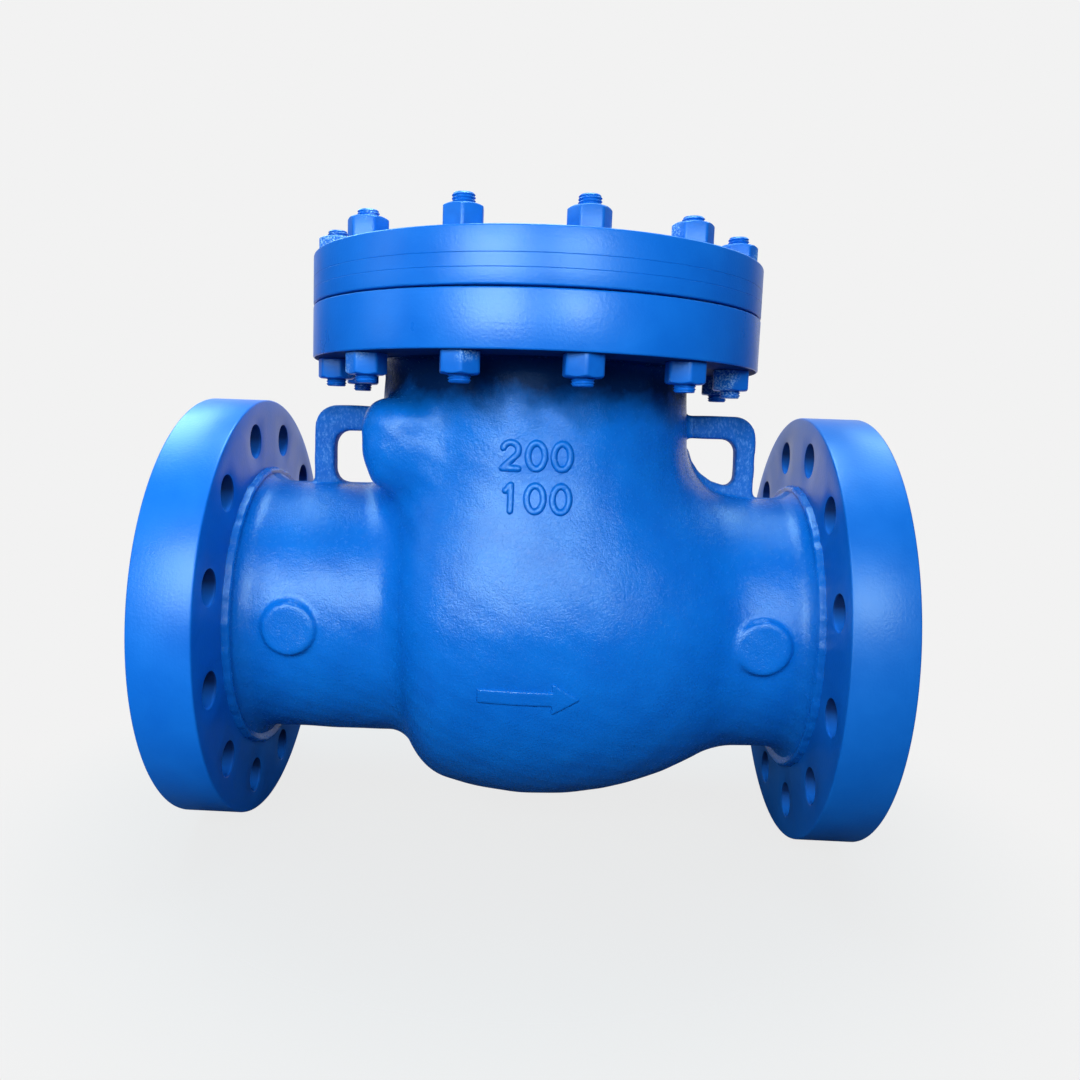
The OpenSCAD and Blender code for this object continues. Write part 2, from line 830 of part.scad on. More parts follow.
// Split pin through the stem: ring below, two bent legs above
module disc_split_pin() {
    r = split_pin_d / 2;
    wire_r = split_wire_d / 2;
    half = stem_d / 2 + split_pin_d;
    color(bare_steel)
        on_disc()
            translate([split_pin_at, 0, 0]) {
                translate([0, 0, -half])
                    cylinder(r = r, h = 2 * half);
                translate([0, 0, -half - split_pin_d])
                    rotate([0, 90, 0])
                        rotate_extrude()
                            translate([split_pin_d, 0])
                                circle(wire_r);
                for (side = [-1, 1])
                    translate([0, 0, half - r])
                        rotate([side * split_bend, 0, 0])
                            cylinder(r = wire_r, h = split_leg);
            }
}

body();
seat_ring();
cover();
cover_gasket();
cover_studs();
cover_nuts_upper();
cover_nuts_lower();
hinge_pin();
hinge_pin_plug();
plug_gasket();
hinge_arm();
arm_bush_front();
arm_bush_rear();
disc();
disc_washer();
disc_nut();
disc_split_pin();
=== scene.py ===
# %% [markdown]
# # A flanged swing check valve, dressed for its portrait
#
# The valve is a sand casting in steel, machined where it is bolted to something and painted blue all over.
# A round cover, held by twelve studs, closes the top. Inside, a disc hangs on an arm and swings open with
# the flow. This script takes the measured part as a fixed frame and gives each piece the shape and the
# finish that the foundry, the lathe and the paint shop leave behind.

import math

import bpy
import numpy as np
import openvdb
from mathutils import Matrix, Vector


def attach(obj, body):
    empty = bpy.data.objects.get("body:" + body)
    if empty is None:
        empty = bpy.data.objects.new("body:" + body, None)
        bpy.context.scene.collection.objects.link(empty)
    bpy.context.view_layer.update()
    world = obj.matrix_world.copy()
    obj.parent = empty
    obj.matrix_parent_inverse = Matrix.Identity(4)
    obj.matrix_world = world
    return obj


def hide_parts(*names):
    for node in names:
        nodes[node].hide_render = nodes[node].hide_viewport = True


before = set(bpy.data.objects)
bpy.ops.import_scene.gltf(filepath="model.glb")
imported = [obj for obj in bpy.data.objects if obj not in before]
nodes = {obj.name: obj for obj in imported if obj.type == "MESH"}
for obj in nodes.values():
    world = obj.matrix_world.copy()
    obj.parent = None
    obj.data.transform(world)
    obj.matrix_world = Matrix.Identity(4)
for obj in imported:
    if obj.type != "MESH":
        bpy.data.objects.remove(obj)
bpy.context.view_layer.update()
print("nodes:", ", ".join(sorted(nodes)))

# %% [markdown]
# ## Sizes
#
# Lengths are written in millimetres, as on a drawing, and turned into metres when a mesh is made. The frame's
# origin is the centre of the inlet's raised face, X runs along the flow and Z points up to the cover.

# %% Sizes shared by several pieces
MM = 0.001
FACE_TO_FACE = 660.0
MIDDLE = FACE_TO_FACE / 2
FLANGE_R = 210.0
FLANGE_CIRCLE_R = 174.6
FLANGE_HOLE_R = 15.875
FLANGE_EDGE = 1.8
RAISED_FACE_R = 134.95
RAISED_FACE = 7.0
FLANGE_BACK = 62.6
PORT_R = 100.0
NECK_R = 126.0
HUB_RING_R = 142.0
BONNET_R = 152.0
BONNET_FLANGE_R = 217.2
BONNET_FLANGE_LOW = 249.5
BONNET_TOP = 297.0
BONNET_EDGE = 1.5
COVER_LOW = 298.5
COVER_TOP = 343.9
COVER_EDGE = 1.6
STUD_CIRCLE_R = 195.0
STUD_HOLE_R = 11.125
FIRST_STUD = -77.0
PIN_X = 220.0
PIN_Z = 170.0
print("face to face", FACE_TO_FACE, "mm, cover top at", COVER_TOP, "mm")

# %% [markdown]
# ## Colours and nodes
#
# Colours are written as they look on a screen, and one function turns them into the linear numbers that
# the renderer works with. A second small helper adds one shader node at a time.

# %% Colour and node helpers
def colour(code):
    """Linear RGBA of an sRGB hex colour."""
    parts = [int(code[i:i + 2], 16) / 255 for i in (1, 3, 5)]
    linear = [c / 12.92 if c <= 0.04045 else ((c + 0.055) / 1.055) ** 2.4 for c in parts]
    return (*linear, 1.0)


def set_inputs(tree, node, inputs):
    """Links each input that is given a socket, and sets the others."""
    for name, value in inputs.items():
        if isinstance(value, bpy.types.NodeSocket):
            tree.links.new(value, node.inputs[name])
        else:
            node.inputs[name].default_value = value


def add_node(tree, kind, inputs=None, **properties):
    """One shader node, named without the prefix that all of them share."""
    made = tree.nodes.new("ShaderNode" + kind)
    for name, value in properties.items():
        setattr(made, name, value)
    set_inputs(tree, made, inputs or {})
    return made


def add_ramp(tree, factor, stops):
    """A colour ramp from stops of a position and a hex colour."""
    made = add_node(tree, "ValToRGB", {"Fac": factor})
    while len(made.color_ramp.elements) < len(stops):
        made.color_ramp.elements.new(0.5)
    for element, (position, code) in zip(made.color_ramp.elements, stops):
        element.position = position
        element.color = colour(code)
    return made.outputs["Color"]


def start_material(name):
    """A new material with its tree, its shader and the coordinates of the valve in metres."""
    material = bpy.data.materials.new(name)
    material.use_nodes = True
    tree = material.node_tree
    place = add_node(tree, "TexCoord").outputs["Object"]
    return material, tree, tree.nodes["Principled BSDF"], place


print("paint blue in linear light:", [round(c, 3) for c in colour("#0D62CC")[:3]])

# %% [markdown]
# ## The camera
#
# The photograph is taken from the front, at about the height of the lifting eyes. So the undersides of the
# bonnet flange and its nuts show, and so do the tops of the pipe necks. The place was fitted to the rims of
# both end flanges, which have a standard size, and to the edges of the cover.

# %% Camera at the photograph's place
IMAGE = 1080.0
FOCAL = 918.38
CENTRE = (522.51, 537.12)
camera_data = bpy.data.cameras.new("camera")
camera_data.sensor_width = 36.0
camera_data.lens = 36.0 * FOCAL / IMAGE
camera_data.shift_x = (IMAGE / 2 - CENTRE[0]) / IMAGE
camera_data.shift_y = (CENTRE[1] - IMAGE / 2) / IMAGE
camera = bpy.data.objects.new("camera", camera_data)
bpy.context.scene.collection.objects.link(camera)
right = Vector((0.9987, 0.0375, 0.0342)).normalized()
forward = Vector((-0.0333, 0.9927, -0.1160))
up = right.cross(forward).normalized()
forward = up.cross(right)
turn = Matrix((right, up, -forward)).transposed()
camera.matrix_world = Matrix.Translation((0.35575, -0.93581, 0.1889)) @ turn.to_4x4()
bpy.context.scene.camera = camera
print("lens", round(camera_data.lens, 2), "mm")

# %% [markdown]
# ## Floor and light
#
# The valve stands on a pale floor that fades into the pale background. The camera sees both nearly white, and
# bare metal mirrors the same pale sweep where it looks behind the valve. In front the floor is a grey shop
# floor and the room is dim and cool, which keeps the paint deep in the shade. One panel above the cover and
# two further out overhead, tinted like daylight, are mirrored by the rims. Two in front, the left one brighter,
# draw the soft bands on the cover and along the necks. A weak one at the left keeps that side from falling off.

# %% Floor, background and lights
scene = bpy.context.scene
scene.view_settings.view_transform = "Standard"
BACKGROUND = colour("#F2F2F2")

world = bpy.data.worlds.new("studio")
scene.world = world
world.use_nodes = True
tree = world.node_tree


def sees_backdrop(tree, depth, near, far):
    """1 for rays from the camera, and for mirrored or passed rays that go behind the valve."""
    rays = add_node(tree, "LightPath").outputs
    behind = add_node(tree, "MapRange", {"Value": depth, "From Min": near, "From Max": far})
    bent = add_node(tree, "Math", {0: rays["Is Glossy Ray"], 1: rays["Is Transmission Ray"]},
                    operation="MAXIMUM")
    back = add_node(tree, "Math", {0: bent.outputs[0], 1: behind.outputs[0]}, operation="MULTIPLY")
    seen = add_node(tree, "Math", {0: rays["Is Camera Ray"], 1: back.outputs[0]}, operation="MAXIMUM")
    return seen.outputs[0]


looking = add_node(tree, "TexCoord").outputs["Generated"]
heading = add_node(tree, "SeparateXYZ", {0: looking})
backdrop = add_node(tree, "Background", {"Color": BACKGROUND, "Strength": 1.0})
room = add_node(tree, "Background", {"Color": colour("#5A8ABE"), "Strength": 0.45})
choice = add_node(tree, "MixShader", {0: sees_backdrop(tree, heading.outputs["Y"], 0.70, 0.95),
                                                1: room.outputs[0], 2: backdrop.outputs[0]})
tree.links.new(choice.outputs[0], tree.nodes["World Output"].inputs["Surface"])

FLOOR_Z = -0.2105
floor_mesh = bpy.data.meshes.new("floor")
floor_mesh.from_pydata([(-2, -2, FLOOR_Z), (2.7, -2, FLOOR_Z), (2.7, 2.5, FLOOR_Z), (-2, 2.5, FLOOR_Z)],
                       [], [(0, 1, 2, 3)])
floor = bpy.data.objects.new("floor", floor_mesh)
scene.collection.objects.link(floor)

floor_material, tree, shader, place = start_material("pale_floor")
set_inputs(tree, shader, {"Base Color": colour("#3A4A60"), "Roughness": 0.9, "Specular IOR Level": 0.1})
glow = add_node(tree, "Emission", {"Color": BACKGROUND, "Strength": 1.0})
lit = add_node(tree, "BsdfDiffuse", {"Color": colour("#9A9A9A")})
pale = add_node(tree, "MixShader", {0: 0.11, 1: glow.outputs[0], 2: lit.outputs[0]})
away = add_node(tree, "VectorMath", {0: place, 1: (0.33, 0.0, FLOOR_Z)}, operation="DISTANCE")
fade = add_node(tree, "MapRange", {"Value": away.outputs["Value"], "From Min": 0.30, "From Max": 0.60},
                interpolation_type="SMOOTHSTEP")
clear = add_node(tree, "BsdfTransparent")
faded = add_node(tree, "MixShader", {0: fade.outputs["Result"], 1: pale.outputs[0], 2: clear.outputs[0]})
along = add_node(tree, "SeparateXYZ", {0: place})
mixed = add_node(tree, "MixShader", {0: sees_backdrop(tree, along.outputs["Y"], 0.45, 0.75),
                                               1: shader.outputs[0], 2: faded.outputs[0]})
tree.links.new(mixed.outputs[0], tree.nodes["Material Output"].inputs["Surface"])
floor_mesh.materials.append(floor_material)


def add_panel(name, at, target, width, height, watts, tint):
    """A soft rectangular light that looks at a point."""
    data = bpy.data.lights.new(name, "AREA")
    data.shape = "RECTANGLE"
    data.size = width
    data.size_y = height
    data.energy = watts
    data.color = colour(tint)[:3]
    panel = bpy.data.objects.new(name, data)
    panel.location = at
    panel.rotation_euler = (Vector(target) - Vector(at)).to_track_quat("-Z", "Y").to_euler()
    scene.collection.objects.link(panel)


HEART = (0.33, 0.0, 0.06)
add_panel("overhead", (0.33, 0.30, 2.00), HEART, 0.9, 0.9, 42.0, "#B4EEFF")
add_panel("overhead_left", (-1.12, 0.90, 1.90), (-1.12, 0.0, 0.06), 0.85, 1.6, 42.0, "#B4EEFF")
add_panel("overhead_right", (1.62, 0.90, 1.90), (1.62, 0.0, 0.06), 0.7, 1.6, 16.0, "#B4EEFF")
add_panel("front_left", (-0.25, -1.58, 0.66), (-0.45, 0.0, 0.06), 0.95, 0.80, 31.0, "#CCF8FF")
add_panel("front_right", (0.90, -1.62, 0.70), (0.90, 0.0, 0.06), 0.60, 0.55, 15.0, "#CCF8FF")
add_panel("left", (-1.70, -0.60, 0.80), HEART, 0.60, 1.40, 4.0, "#CCF8FF")
print("six panels over a fading floor")

# %% [markdown]
# ## Blue enamel over sand casting
#
# Sand leaves a skin of grains on the steel, and one coat of shop enamel softens it without hiding it. The eye
# sees broad soft highlights that break up into sparkle, and slow changes of tone where the coat ran thicker.
# Grains of foundry sand are about 0.3 mm; they are drawn as lumps of 4 mm and grains of 1.5 mm, the finest
# that show at this size. In the corner under the bonnet flange the colour turns dark navy and the shine fades,
# painted shade with an uneven lower edge. On the lifting eyes, where slings drag, the tops of the grains are
# rubbed pale in short upright streaks.

# %% Enamel on the casting
def enamel_over_casting(name, deep, light, grain, dust, dull):
    """Blue enamel on a sand-cast skin: grain is its roughness, dust how pale its tops are rubbed."""
    material, tree, shader, place = start_material(name)
    cloud = add_node(tree, "TexNoise", {"Vector": place, "Scale": 26, "Detail": 4, "Roughness": 0.6})
    skin = add_node(tree, "TexNoise", {"Vector": place, "Scale": 240, "Detail": 4, "Roughness": 0.6})
    sand = add_node(tree, "TexNoise", {"Vector": place, "Scale": 640, "Detail": 2, "Roughness": 0.7})
    tone = add_ramp(tree, cloud.outputs["Fac"], [(0.30, deep), (0.72, light)])
    drawn = add_node(tree, "VectorMath", {0: place, 1: (1.0, 1.0, 0.55)}, operation="MULTIPLY")
    tops = add_node(tree, "TexNoise",
                    {"Vector": drawn.outputs[0], "Scale": 460, "Detail": 4, "Roughness": 0.7})
    rubbed = add_node(tree, "MapRange",
                      {"Value": tops.outputs["Fac"], "From Min": 0.50, "From Max": 0.72, "To Max": dust})
    dusty = add_node(tree, "Mix", {0: rubbed.outputs[0], 6: tone, 7: colour("#9CC2F0")},
                     data_type="RGBA")
    # Painted shade: from an uneven height under the bonnet flange upwards, the colour darkens to navy and the
    # shine fades.
    place_parts = add_node(tree, "SeparateXYZ", {0: place})
    shade_edge_height = add_node(tree, "Math", {0: cloud.outputs["Fac"], 1: 0.06, 2: place_parts.outputs["Z"]},
                      operation="MULTIPLY_ADD")
    painted_shade_under_flange = add_node(tree, "MapRange", {"Value": shade_edge_height.outputs[0], "From Min": 0.222, "From Max": 0.258})
    coat = add_node(tree, "Mix", {0: painted_shade_under_flange.outputs[0], 6: dusty.outputs[2], 7: colour("#06234C")},
                    data_type="RGBA")
    gloss = add_node(tree, "MapRange", {"Value": skin.outputs["Fac"], "From Min": 0.3, "From Max": 0.7,
                      "To Min": dull, "To Max": dull + 0.12})
    sheen_fading_in_shade = add_node(tree, "MapRange", {"Value": shade_edge_height.outputs[0], "From Min": 0.208, "From Max": 0.245,
                      "To Min": 0.6 - 0.7 * dull, "To Max": 0.05})
    waves = add_node(tree, "Bump", {"Strength": 0.3, "Distance": 0.0010, "Height": cloud.outputs["Fac"]})
    peel = add_node(tree, "Bump", {"Strength": 0.42 * grain, "Distance": 0.0008,
                                             "Height": skin.outputs["Fac"], "Normal": waves.outputs[0]})
    fine = add_node(tree, "Bump", {"Strength": 0.50 * grain, "Distance": 0.0008,
                                             "Height": sand.outputs["Fac"], "Normal": peel.outputs[0]})
    set_inputs(tree, shader, {"Base Color": coat.outputs[2], "Roughness": gloss.outputs[0], "IOR": 1.5,
                              "Specular IOR Level": sheen_fading_in_shade.outputs[0], "Normal": fine.outputs[0]})
    return material


casting_paint = enamel_over_casting("blue_enamel_on_sand_casting", "#075FB6", "#0A69C0", 1.0, 0.0, 0.18)
rough_paint = enamel_over_casting("blue_enamel_on_rough_casting", "#0A54A6", "#1660B2", 1.5, 0.30, 0.50)
print("casting paints:", casting_paint.name, rough_paint.name)

# %% [markdown]
# ## Blue enamel over turned steel
#
# The rims and faces of the flanges and the cover are turned on a lathe before they are painted, so the coat
# lies smooth and keeps only faint rings from the tool. It shines a little less than on the casting, least on
# the end flanges and most on the bonnet flange. The outlet flange gets a darker copy of the same paint, as
# painted shade. The bolt hole walls and the underside of the bonnet flange get a flat dark navy as painted
# shade, lighter on faces that look up, as painted light from above.

# %% Enamel on machined faces
def enamel_over_turned(name, stretch, deep, light, dull):
    """Blue enamel on a turned surface. stretch draws the noise out into tool marks around the turning axis."""
    material, tree, shader, place = start_material(name)
    cloud = add_node(tree, "TexNoise", {"Vector": place, "Scale": 18, "Detail": 4, "Roughness": 0.55})
    peel = add_node(tree, "TexNoise", {"Vector": place, "Scale": 420, "Detail": 2, "Roughness": 0.5})
    drawn = add_node(tree, "VectorMath", {0: place, 1: stretch}, operation="MULTIPLY")
    lines = add_node(tree, "TexNoise",
                     {"Vector": drawn.outputs[0], "Scale": 1, "Detail": 3, "Roughness": 0.6})
    tone = add_ramp(tree, cloud.outputs["Fac"], [(0.30, deep), (0.72, light)])
    gloss = add_node(tree, "MapRange", {"Value": cloud.outputs["Fac"], "From Min": 0.3, "From Max": 0.7,
                      "To Min": dull, "To Max": dull + 0.10})
    waves = add_node(tree, "Bump", {"Strength": 0.12, "Distance": 0.0010, "Height": cloud.outputs["Fac"]})
    marks = add_node(tree, "Bump", {"Strength": 0.14, "Distance": 0.0003,
                                              "Height": lines.outputs["Fac"], "Normal": waves.outputs[0]})
    skin = add_node(tree, "Bump", {"Strength": 0.35, "Distance": 0.0004,
                                             "Height": peel.outputs["Fac"], "Normal": marks.outputs[0]})
    set_inputs(tree, shader, {"Base Color": tone, "Roughness": gloss.outputs[0], "IOR": 1.5,
                              "Normal": skin.outputs[0]})
    return material


# Painted shade for bolt hole walls and the bonnet flange's underside: dark navy, with painted light from above
# on faces that look up.
painted_shade_primer, tree, shader, place = start_material("painted_shade_on_drilled_steel")
film = add_node(tree, "TexNoise", {"Vector": place, "Scale": 60, "Detail": 4, "Roughness": 0.6})
tone = add_ramp(tree, film.outputs["Fac"], [(0.30, "#07224E"), (0.72, "#0A2E66")])
facing = add_node(tree, "SeparateXYZ", {0: add_node(tree, "NewGeometry").outputs["Normal"]})
painted_top_light = add_node(tree, "MapRange", {"Value": facing.outputs["Z"], "From Min": -0.2, "From Max": 0.8})
coat = add_node(tree, "Mix", {0: painted_top_light.outputs[0], 6: tone, 7: colour("#0F6ACC")}, data_type="RGBA")
grit = add_node(tree, "Bump", {"Strength": 0.3, "Distance": 0.0005, "Height": film.outputs["Fac"]})
set_inputs(tree, shader, {"Base Color": coat.outputs[2], "Roughness": 0.75, "Specular IOR Level": 0.25,
                          "Normal": grit.outputs[0]})

flange_paint = enamel_over_turned("blue_enamel_on_turned_flange", (420, 7, 7), "#075FB9", "#0D6AC4", 0.30)
# The outlet flange gets a darker copy of the flange paint: painted shade.
outlet_shaded_paint = enamel_over_turned("blue_enamel_shaded_on_outlet_flange", (420, 7, 7), "#0959AA", "#0F63B5", 0.30)
cover_paint = enamel_over_turned("blue_enamel_on_turned_cover", (7, 7, 420), "#075FB9", "#0D6AC4", 0.29)
bonnet_paint = enamel_over_turned("blue_enamel_on_turned_bonnet_flange", (7, 7, 420),
                                  "#075FB9", "#0D6AC4", 0.26)
print("machined paints:", flange_paint.name, cover_paint.name, bonnet_paint.name)

# %% [markdown]
# ## Pieces
#
# A piece is made from points in millimetres and faces. It rides on the valve's body and says which measured
# node it stands for. Edges sharper than 35 degrees stay crisp.

# %% Making a piece
def add_piece(name, points, faces, material, finish, stands_for=(), sharp=35.0):
    """A mesh piece from points in millimetres."""
    mesh = bpy.data.meshes.new(name)
    scaled = np.asarray(points, float) * MM
    mesh.from_pydata(scaled.tolist(), [], [list(map(int, face)) for face in faces])
    mesh.materials.append(material)
    mesh.update()
    mesh.shade_smooth()
    if sharp:
        mesh.set_sharp_from_angle(angle=math.radians(sharp))
    piece = bpy.data.objects.new(name, mesh)
    scene.collection.objects.link(piece)
    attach(piece, "valve_body")
    for node_name in stands_for:
        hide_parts(node_name)
    return piece


def along_x(points):
    """Turns points made about the Z axis so that they lie about the X axis."""
    points = np.asarray(points, float)
    return np.column_stack([points[:, 2], points[:, 0], points[:, 1]])


def add_at_both_ends(name, points, faces, inlet_material, outlet_material):
    """The same shape at the inlet and, mirrored, at the outlet."""
    near = along_x(points)
    far = near * (-1, 1, 1) + (FACE_TO_FACE, 0, 0)
    flipped = [face[::-1] for face in faces]
    inlet = add_piece("inlet_" + name, near, faces, inlet_material, "casting_paint", ["body"])
    outlet = add_piece("outlet_" + name, far, flipped, outlet_material, "casting_paint", ["body"])
    return inlet, outlet


# %% [markdown]
# ## The casting
#
# A pattern maker builds the body from turned wooden shapes, fills the corners with leather fillets and
# rubs everything round, and the sand copies it. Here the same is done with distances: each simple shape says
# how far a point lies from it, a smooth minimum joins the shapes with a fillet, and the surface is where the
# distance is zero. Pipe run and passage have the measured part's profiles. The upright neck's draft and the
# two lifting eyes follow this one casting.

# %% Profiles of the casting
def arc(centre, radius, start, end, steps=14):
    """Points on an arc, in degrees."""
    turns = np.radians(np.linspace(start, end, steps + 1))
    return np.column_stack([centre[0] + radius * np.cos(turns), centre[1] + radius * np.sin(turns)])


def direction(start, end):
    """Direction from one point to another, in degrees."""
    return math.degrees(math.atan2(end[1] - start[1], end[0] - start[0]))


BOWL_CENTRE = (343.0, -139.0)
SHOULDER_CENTRE = (275.98, 114.28)
INLET_CENTRE = (198.5, 156.0)
OUTLET_CENTRE = (545.42, 206.0)
shoulder_turn = direction(BOWL_CENTRE, SHOULDER_CENTRE)
inlet_turn = direction(INLET_CENTRE, SHOULDER_CENTRE)
outlet_turn = direction(BOWL_CENTRE, OUTLET_CENTRE)
hub_arc = arc((84.33, 146.0), 20.0, 200.49, 270.0)
hub_arc_out = hub_arc[::-1] * (-1, 1) + (FACE_TO_FACE, 0)

pipe_outline = np.vstack([
    [(57, -80), (57, 139)], hub_arc,
    arc(INLET_CENTRE, 30.0, -90.0, inlet_turn),
    arc(SHOULDER_CENTRE, 58.0, inlet_turn + 180.0, shoulder_turn),
    arc(BOWL_CENTRE, 320.0, shoulder_turn, outlet_turn, 40),
    arc(OUTLET_CENTRE, 80.0, outlet_turn + 180.0, 270.0),
    hub_arc_out, [(603, 139), (603, -80)],
])
passage_outline = np.vstack([
    [(240.0, -80)],
    arc(SHOULDER_CENTRE, 36.0, 180.0, shoulder_turn),
    arc(BOWL_CENTRE, 298.0, shoulder_turn, 53.3, 40),
    [(620, PORT_R + 0.3), (620, -80)],
])
bonnet_outline = np.vstack([
    [(-80, 20), (157, 20), (154, 160)],
    arc((BONNET_R + 11.5, BONNET_FLANGE_LOW - 14.0), 14.0, 180.0, 90.0),
    [(166, 254), (149, 254), (149, 291), (-80, 291)],
])
inlet_eye = np.vstack([
    [(219.5, 110)], arc((197.5, 185.3), 22.0, 0.0, 90.0), [(120, 207.3), (120, 182.4)],
    arc((184.0, 167.4), 15.0, 90.0, 0.0), arc((181.0, 145.0), 18.0, 0.0, -90.0), [(120, 127), (120, 110)],
])
outlet_eye = np.vstack([
    [(224, 110)], arc((202.0, 186.9), 22.0, 0.0, 90.0), [(120, 208.9), (120, 186.2), (158, 186.2)],
    arc((191.6, 173.2), 13.0, 90.0, 0.0), arc((195.6, 149.5), 9.0, 0.0, -95.0),
    [(182.5, 144.2), (169.2, 152.6), (160, 163.5), (157, 174), (120, 174), (120, 110)],
])
print("profiles:", len(pipe_outline), len(passage_outline), len(bonnet_outline), len(inlet_eye), "points")

# %% [markdown]
# A profile becomes a table of distances, negative inside, that can be looked up for any number of points.

# %% Distance tables
TABLE_STEP = 1.0


def distance_table(outline, low, high):
    """Signed distances to a closed outline on a grid from low to high."""
    counts = [int((b - a) / TABLE_STEP) + 1 for a, b in zip(low, high)]
    us = low[0] + TABLE_STEP * np.arange(counts[0])
    vs = low[1] + TABLE_STEP * np.arange(counts[1])
    u, v = np.meshgrid(us, vs, indexing="ij")
    square = np.full(u.shape, 1e9)
    inside = np.zeros(u.shape, bool)
    for (u0, v0), (u1, v1) in zip(outline, np.roll(outline, -1, axis=0)):
        du, dv = u1 - u0, v1 - v0
        share = np.clip(((u - u0) * du + (v - v0) * dv) / (du * du + dv * dv), 0, 1)
        square = np.minimum(square, (u - u0 - share * du) ** 2 + (v - v0 - share * dv) ** 2)
        if dv != 0:
            inside ^= ((v0 > v) != (v1 > v)) & (u < u0 + (v - v0) * du / dv)
    return np.where(inside, -1.0, 1.0) * np.sqrt(square), low


def look_up(table, u, v):
    """Distances at points, by linear interpolation in the table."""
    values, low = table
    fu = np.clip((u - low[0]) / TABLE_STEP, 0, values.shape[0] - 1.001)
    fv = np.clip((v - low[1]) / TABLE_STEP, 0, values.shape[1] - 1.001)
    iu, iv = fu.astype(int), fv.astype(int)
    fu, fv = fu - iu, fv - iv
    near = values[iu, iv] * (1 - fv) + values[iu, iv + 1] * fv
    far = values[iu + 1, iv] * (1 - fv) + values[iu + 1, iv + 1] * fv
    return near * (1 - fu) + far * fu


pipe_table = distance_table(pipe_outline, (40, 0), (620, 300))
passage_table = distance_table(passage_outline, (40, 0), (620, 300))
bonnet_table = distance_table(bonnet_outline, (0, -60), (320, 310))
inlet_eye_table = distance_table(inlet_eye, (60, 90), (300, 300))
outlet_eye_table = distance_table(outlet_eye, (60, 90), (300, 300))
print("widest bowl radius:", round(float(np.interp(0, pipe_table[0][302], np.arange(301))), 1), "mm")

# %% [markdown]
# The shapes are joined from large to small: pipe run and upright neck with a generous fillet, then the two
# lifting eyes, the hinge bosses (domed and creased at the front, faced flat at the back) and the round pads.
# The casting sits a few millimetres higher than the flanges turned on its ends, as castings do when they are
# centred by eye. A hand-rubbed pattern is never quite true, so the surface also swells and sinks a little.

# %% The casting as distances
def smooth_min(a, b, reach):
    """The lower of two distances, rounded over the given reach."""
    near = np.maximum(reach - np.abs(a - b), 0) / reach
    return np.minimum(a, b) - near * near * reach / 4


def rounded(a, b, radius):
    """Where two shapes overlap, with the edge rounded."""
    a, b = a + radius, b + radius
    outer = np.hypot(np.maximum(a, 0), np.maximum(b, 0))
    return outer + np.minimum(np.maximum(a, b), 0) - radius


CORE_LIFT = 2.8


def outside_of_casting(x, y, z):
    """Distance to the casting as if it were solid."""
    across = x - MIDDLE
    pipe = look_up(pipe_table, x, np.hypot(y, z - CORE_LIFT))
    bonnet = look_up(bonnet_table, np.hypot(across - 2.4, y), z)
    fillet = 16.0 + 12.0 * np.clip(across / 130.0, 0, 1) + 20.0 * np.clip((np.abs(y) - 60.0) / 80.0, 0, 1)
    shape = smooth_min(pipe, bonnet, fillet)
    inlet_side = look_up(inlet_eye_table, -across, z)
    outlet_side = look_up(outlet_eye_table, across, z)
    eyes = rounded(np.where(across < 0, inlet_side, outlet_side), np.abs(y) - 10.0, 3.5)
    shape = smooth_min(shape, eyes, 6.0)
    rise = z - PIN_Z - 14.0
    tall = np.where(rise > 0, rise / 31.0, rise / 58.0)
    aside = x - PIN_X + 3.0
    wide = np.where(aside > 0, aside / 48.0, aside / 38.0)
    deep = (y + 93.0) / 43.0
    away = (np.abs(wide) ** 2.6 + np.abs(deep) ** 2.6 + np.abs(tall) ** 2.6) ** (1 / 2.6)
    crease = np.sin(x / 5.2 + 2.1 * np.sin(z / 8.7)) + np.sin(z / 4.1 + x / 9.0 + 1.8 * np.sin(x / 7.3 + 2.0))
    front = 36.0 * (away - 1.0) + 0.45 * crease * np.clip(1.35 - away, 0, 0.5)
    back = rounded(np.hypot(x - PIN_X, z - PIN_Z) - 38.0, y - 132.0, 3.0)
    shape = smooth_min(shape, np.where(y < 0, front, back), 16.0)
    from_pad = np.hypot(np.abs(across - 3.0) - 214.0, z - CORE_LIFT)
    pads = rounded(from_pad - 24.5, np.abs(y) - (NECK_R + 5.0), 2.5)
    shape = smooth_min(shape, pads, 4.5)
    swell = np.sin(x / 15.0 + 1.0) * np.sin(y / 13.0 + 2.0) * np.sin(z / 14.0)
    ripple = np.sin(x / 7.1 + z / 9.7) * np.sin(z / 6.3 - y / 8.1)
    return shape + 0.35 * swell + 0.18 * ripple


def hollow_of_casting(x, y, z):
    """Distance to the hollow: bowl, upright bore, hub pocket, inlet bore and seat pocket."""
    radius = np.hypot(y, z)
    passage = look_up(passage_table, x, radius)
    upright = np.maximum(np.hypot(x - MIDDLE, y) - 128.0, np.where(x > 240.0, 96.0, 130.0) - z)
    from_pin = np.hypot(x - PIN_X, z - PIN_Z)
    pocket = np.maximum(from_pin - 22.0, np.abs(y) - 30.9)
    bosses = np.maximum(from_pin - 24.0, 30.9 - np.abs(y))
    bowl = np.maximum(np.minimum(np.minimum(passage, upright), pocket), -bosses)
    inlet = np.maximum(radius - PORT_R - 0.3, x - 245.0)
    seat = np.maximum(radius - 112.1, np.maximum(214.0 - x, x - 245.0))
    return np.minimum(bowl, np.minimum(inlet, seat))


print("distance at the bowl's front:", round(float(outside_of_casting(342.0, -181.0, 0.0)), 2), "mm")

# %% [markdown]
# The zero surface is traced through a grid of small cells. Cells of 2.5 mm follow every fillet and keep the
# mesh at a size that other programs can still handle. The hollow is shot-blasted and oiled, not painted, so
# its faces look dark and dull.

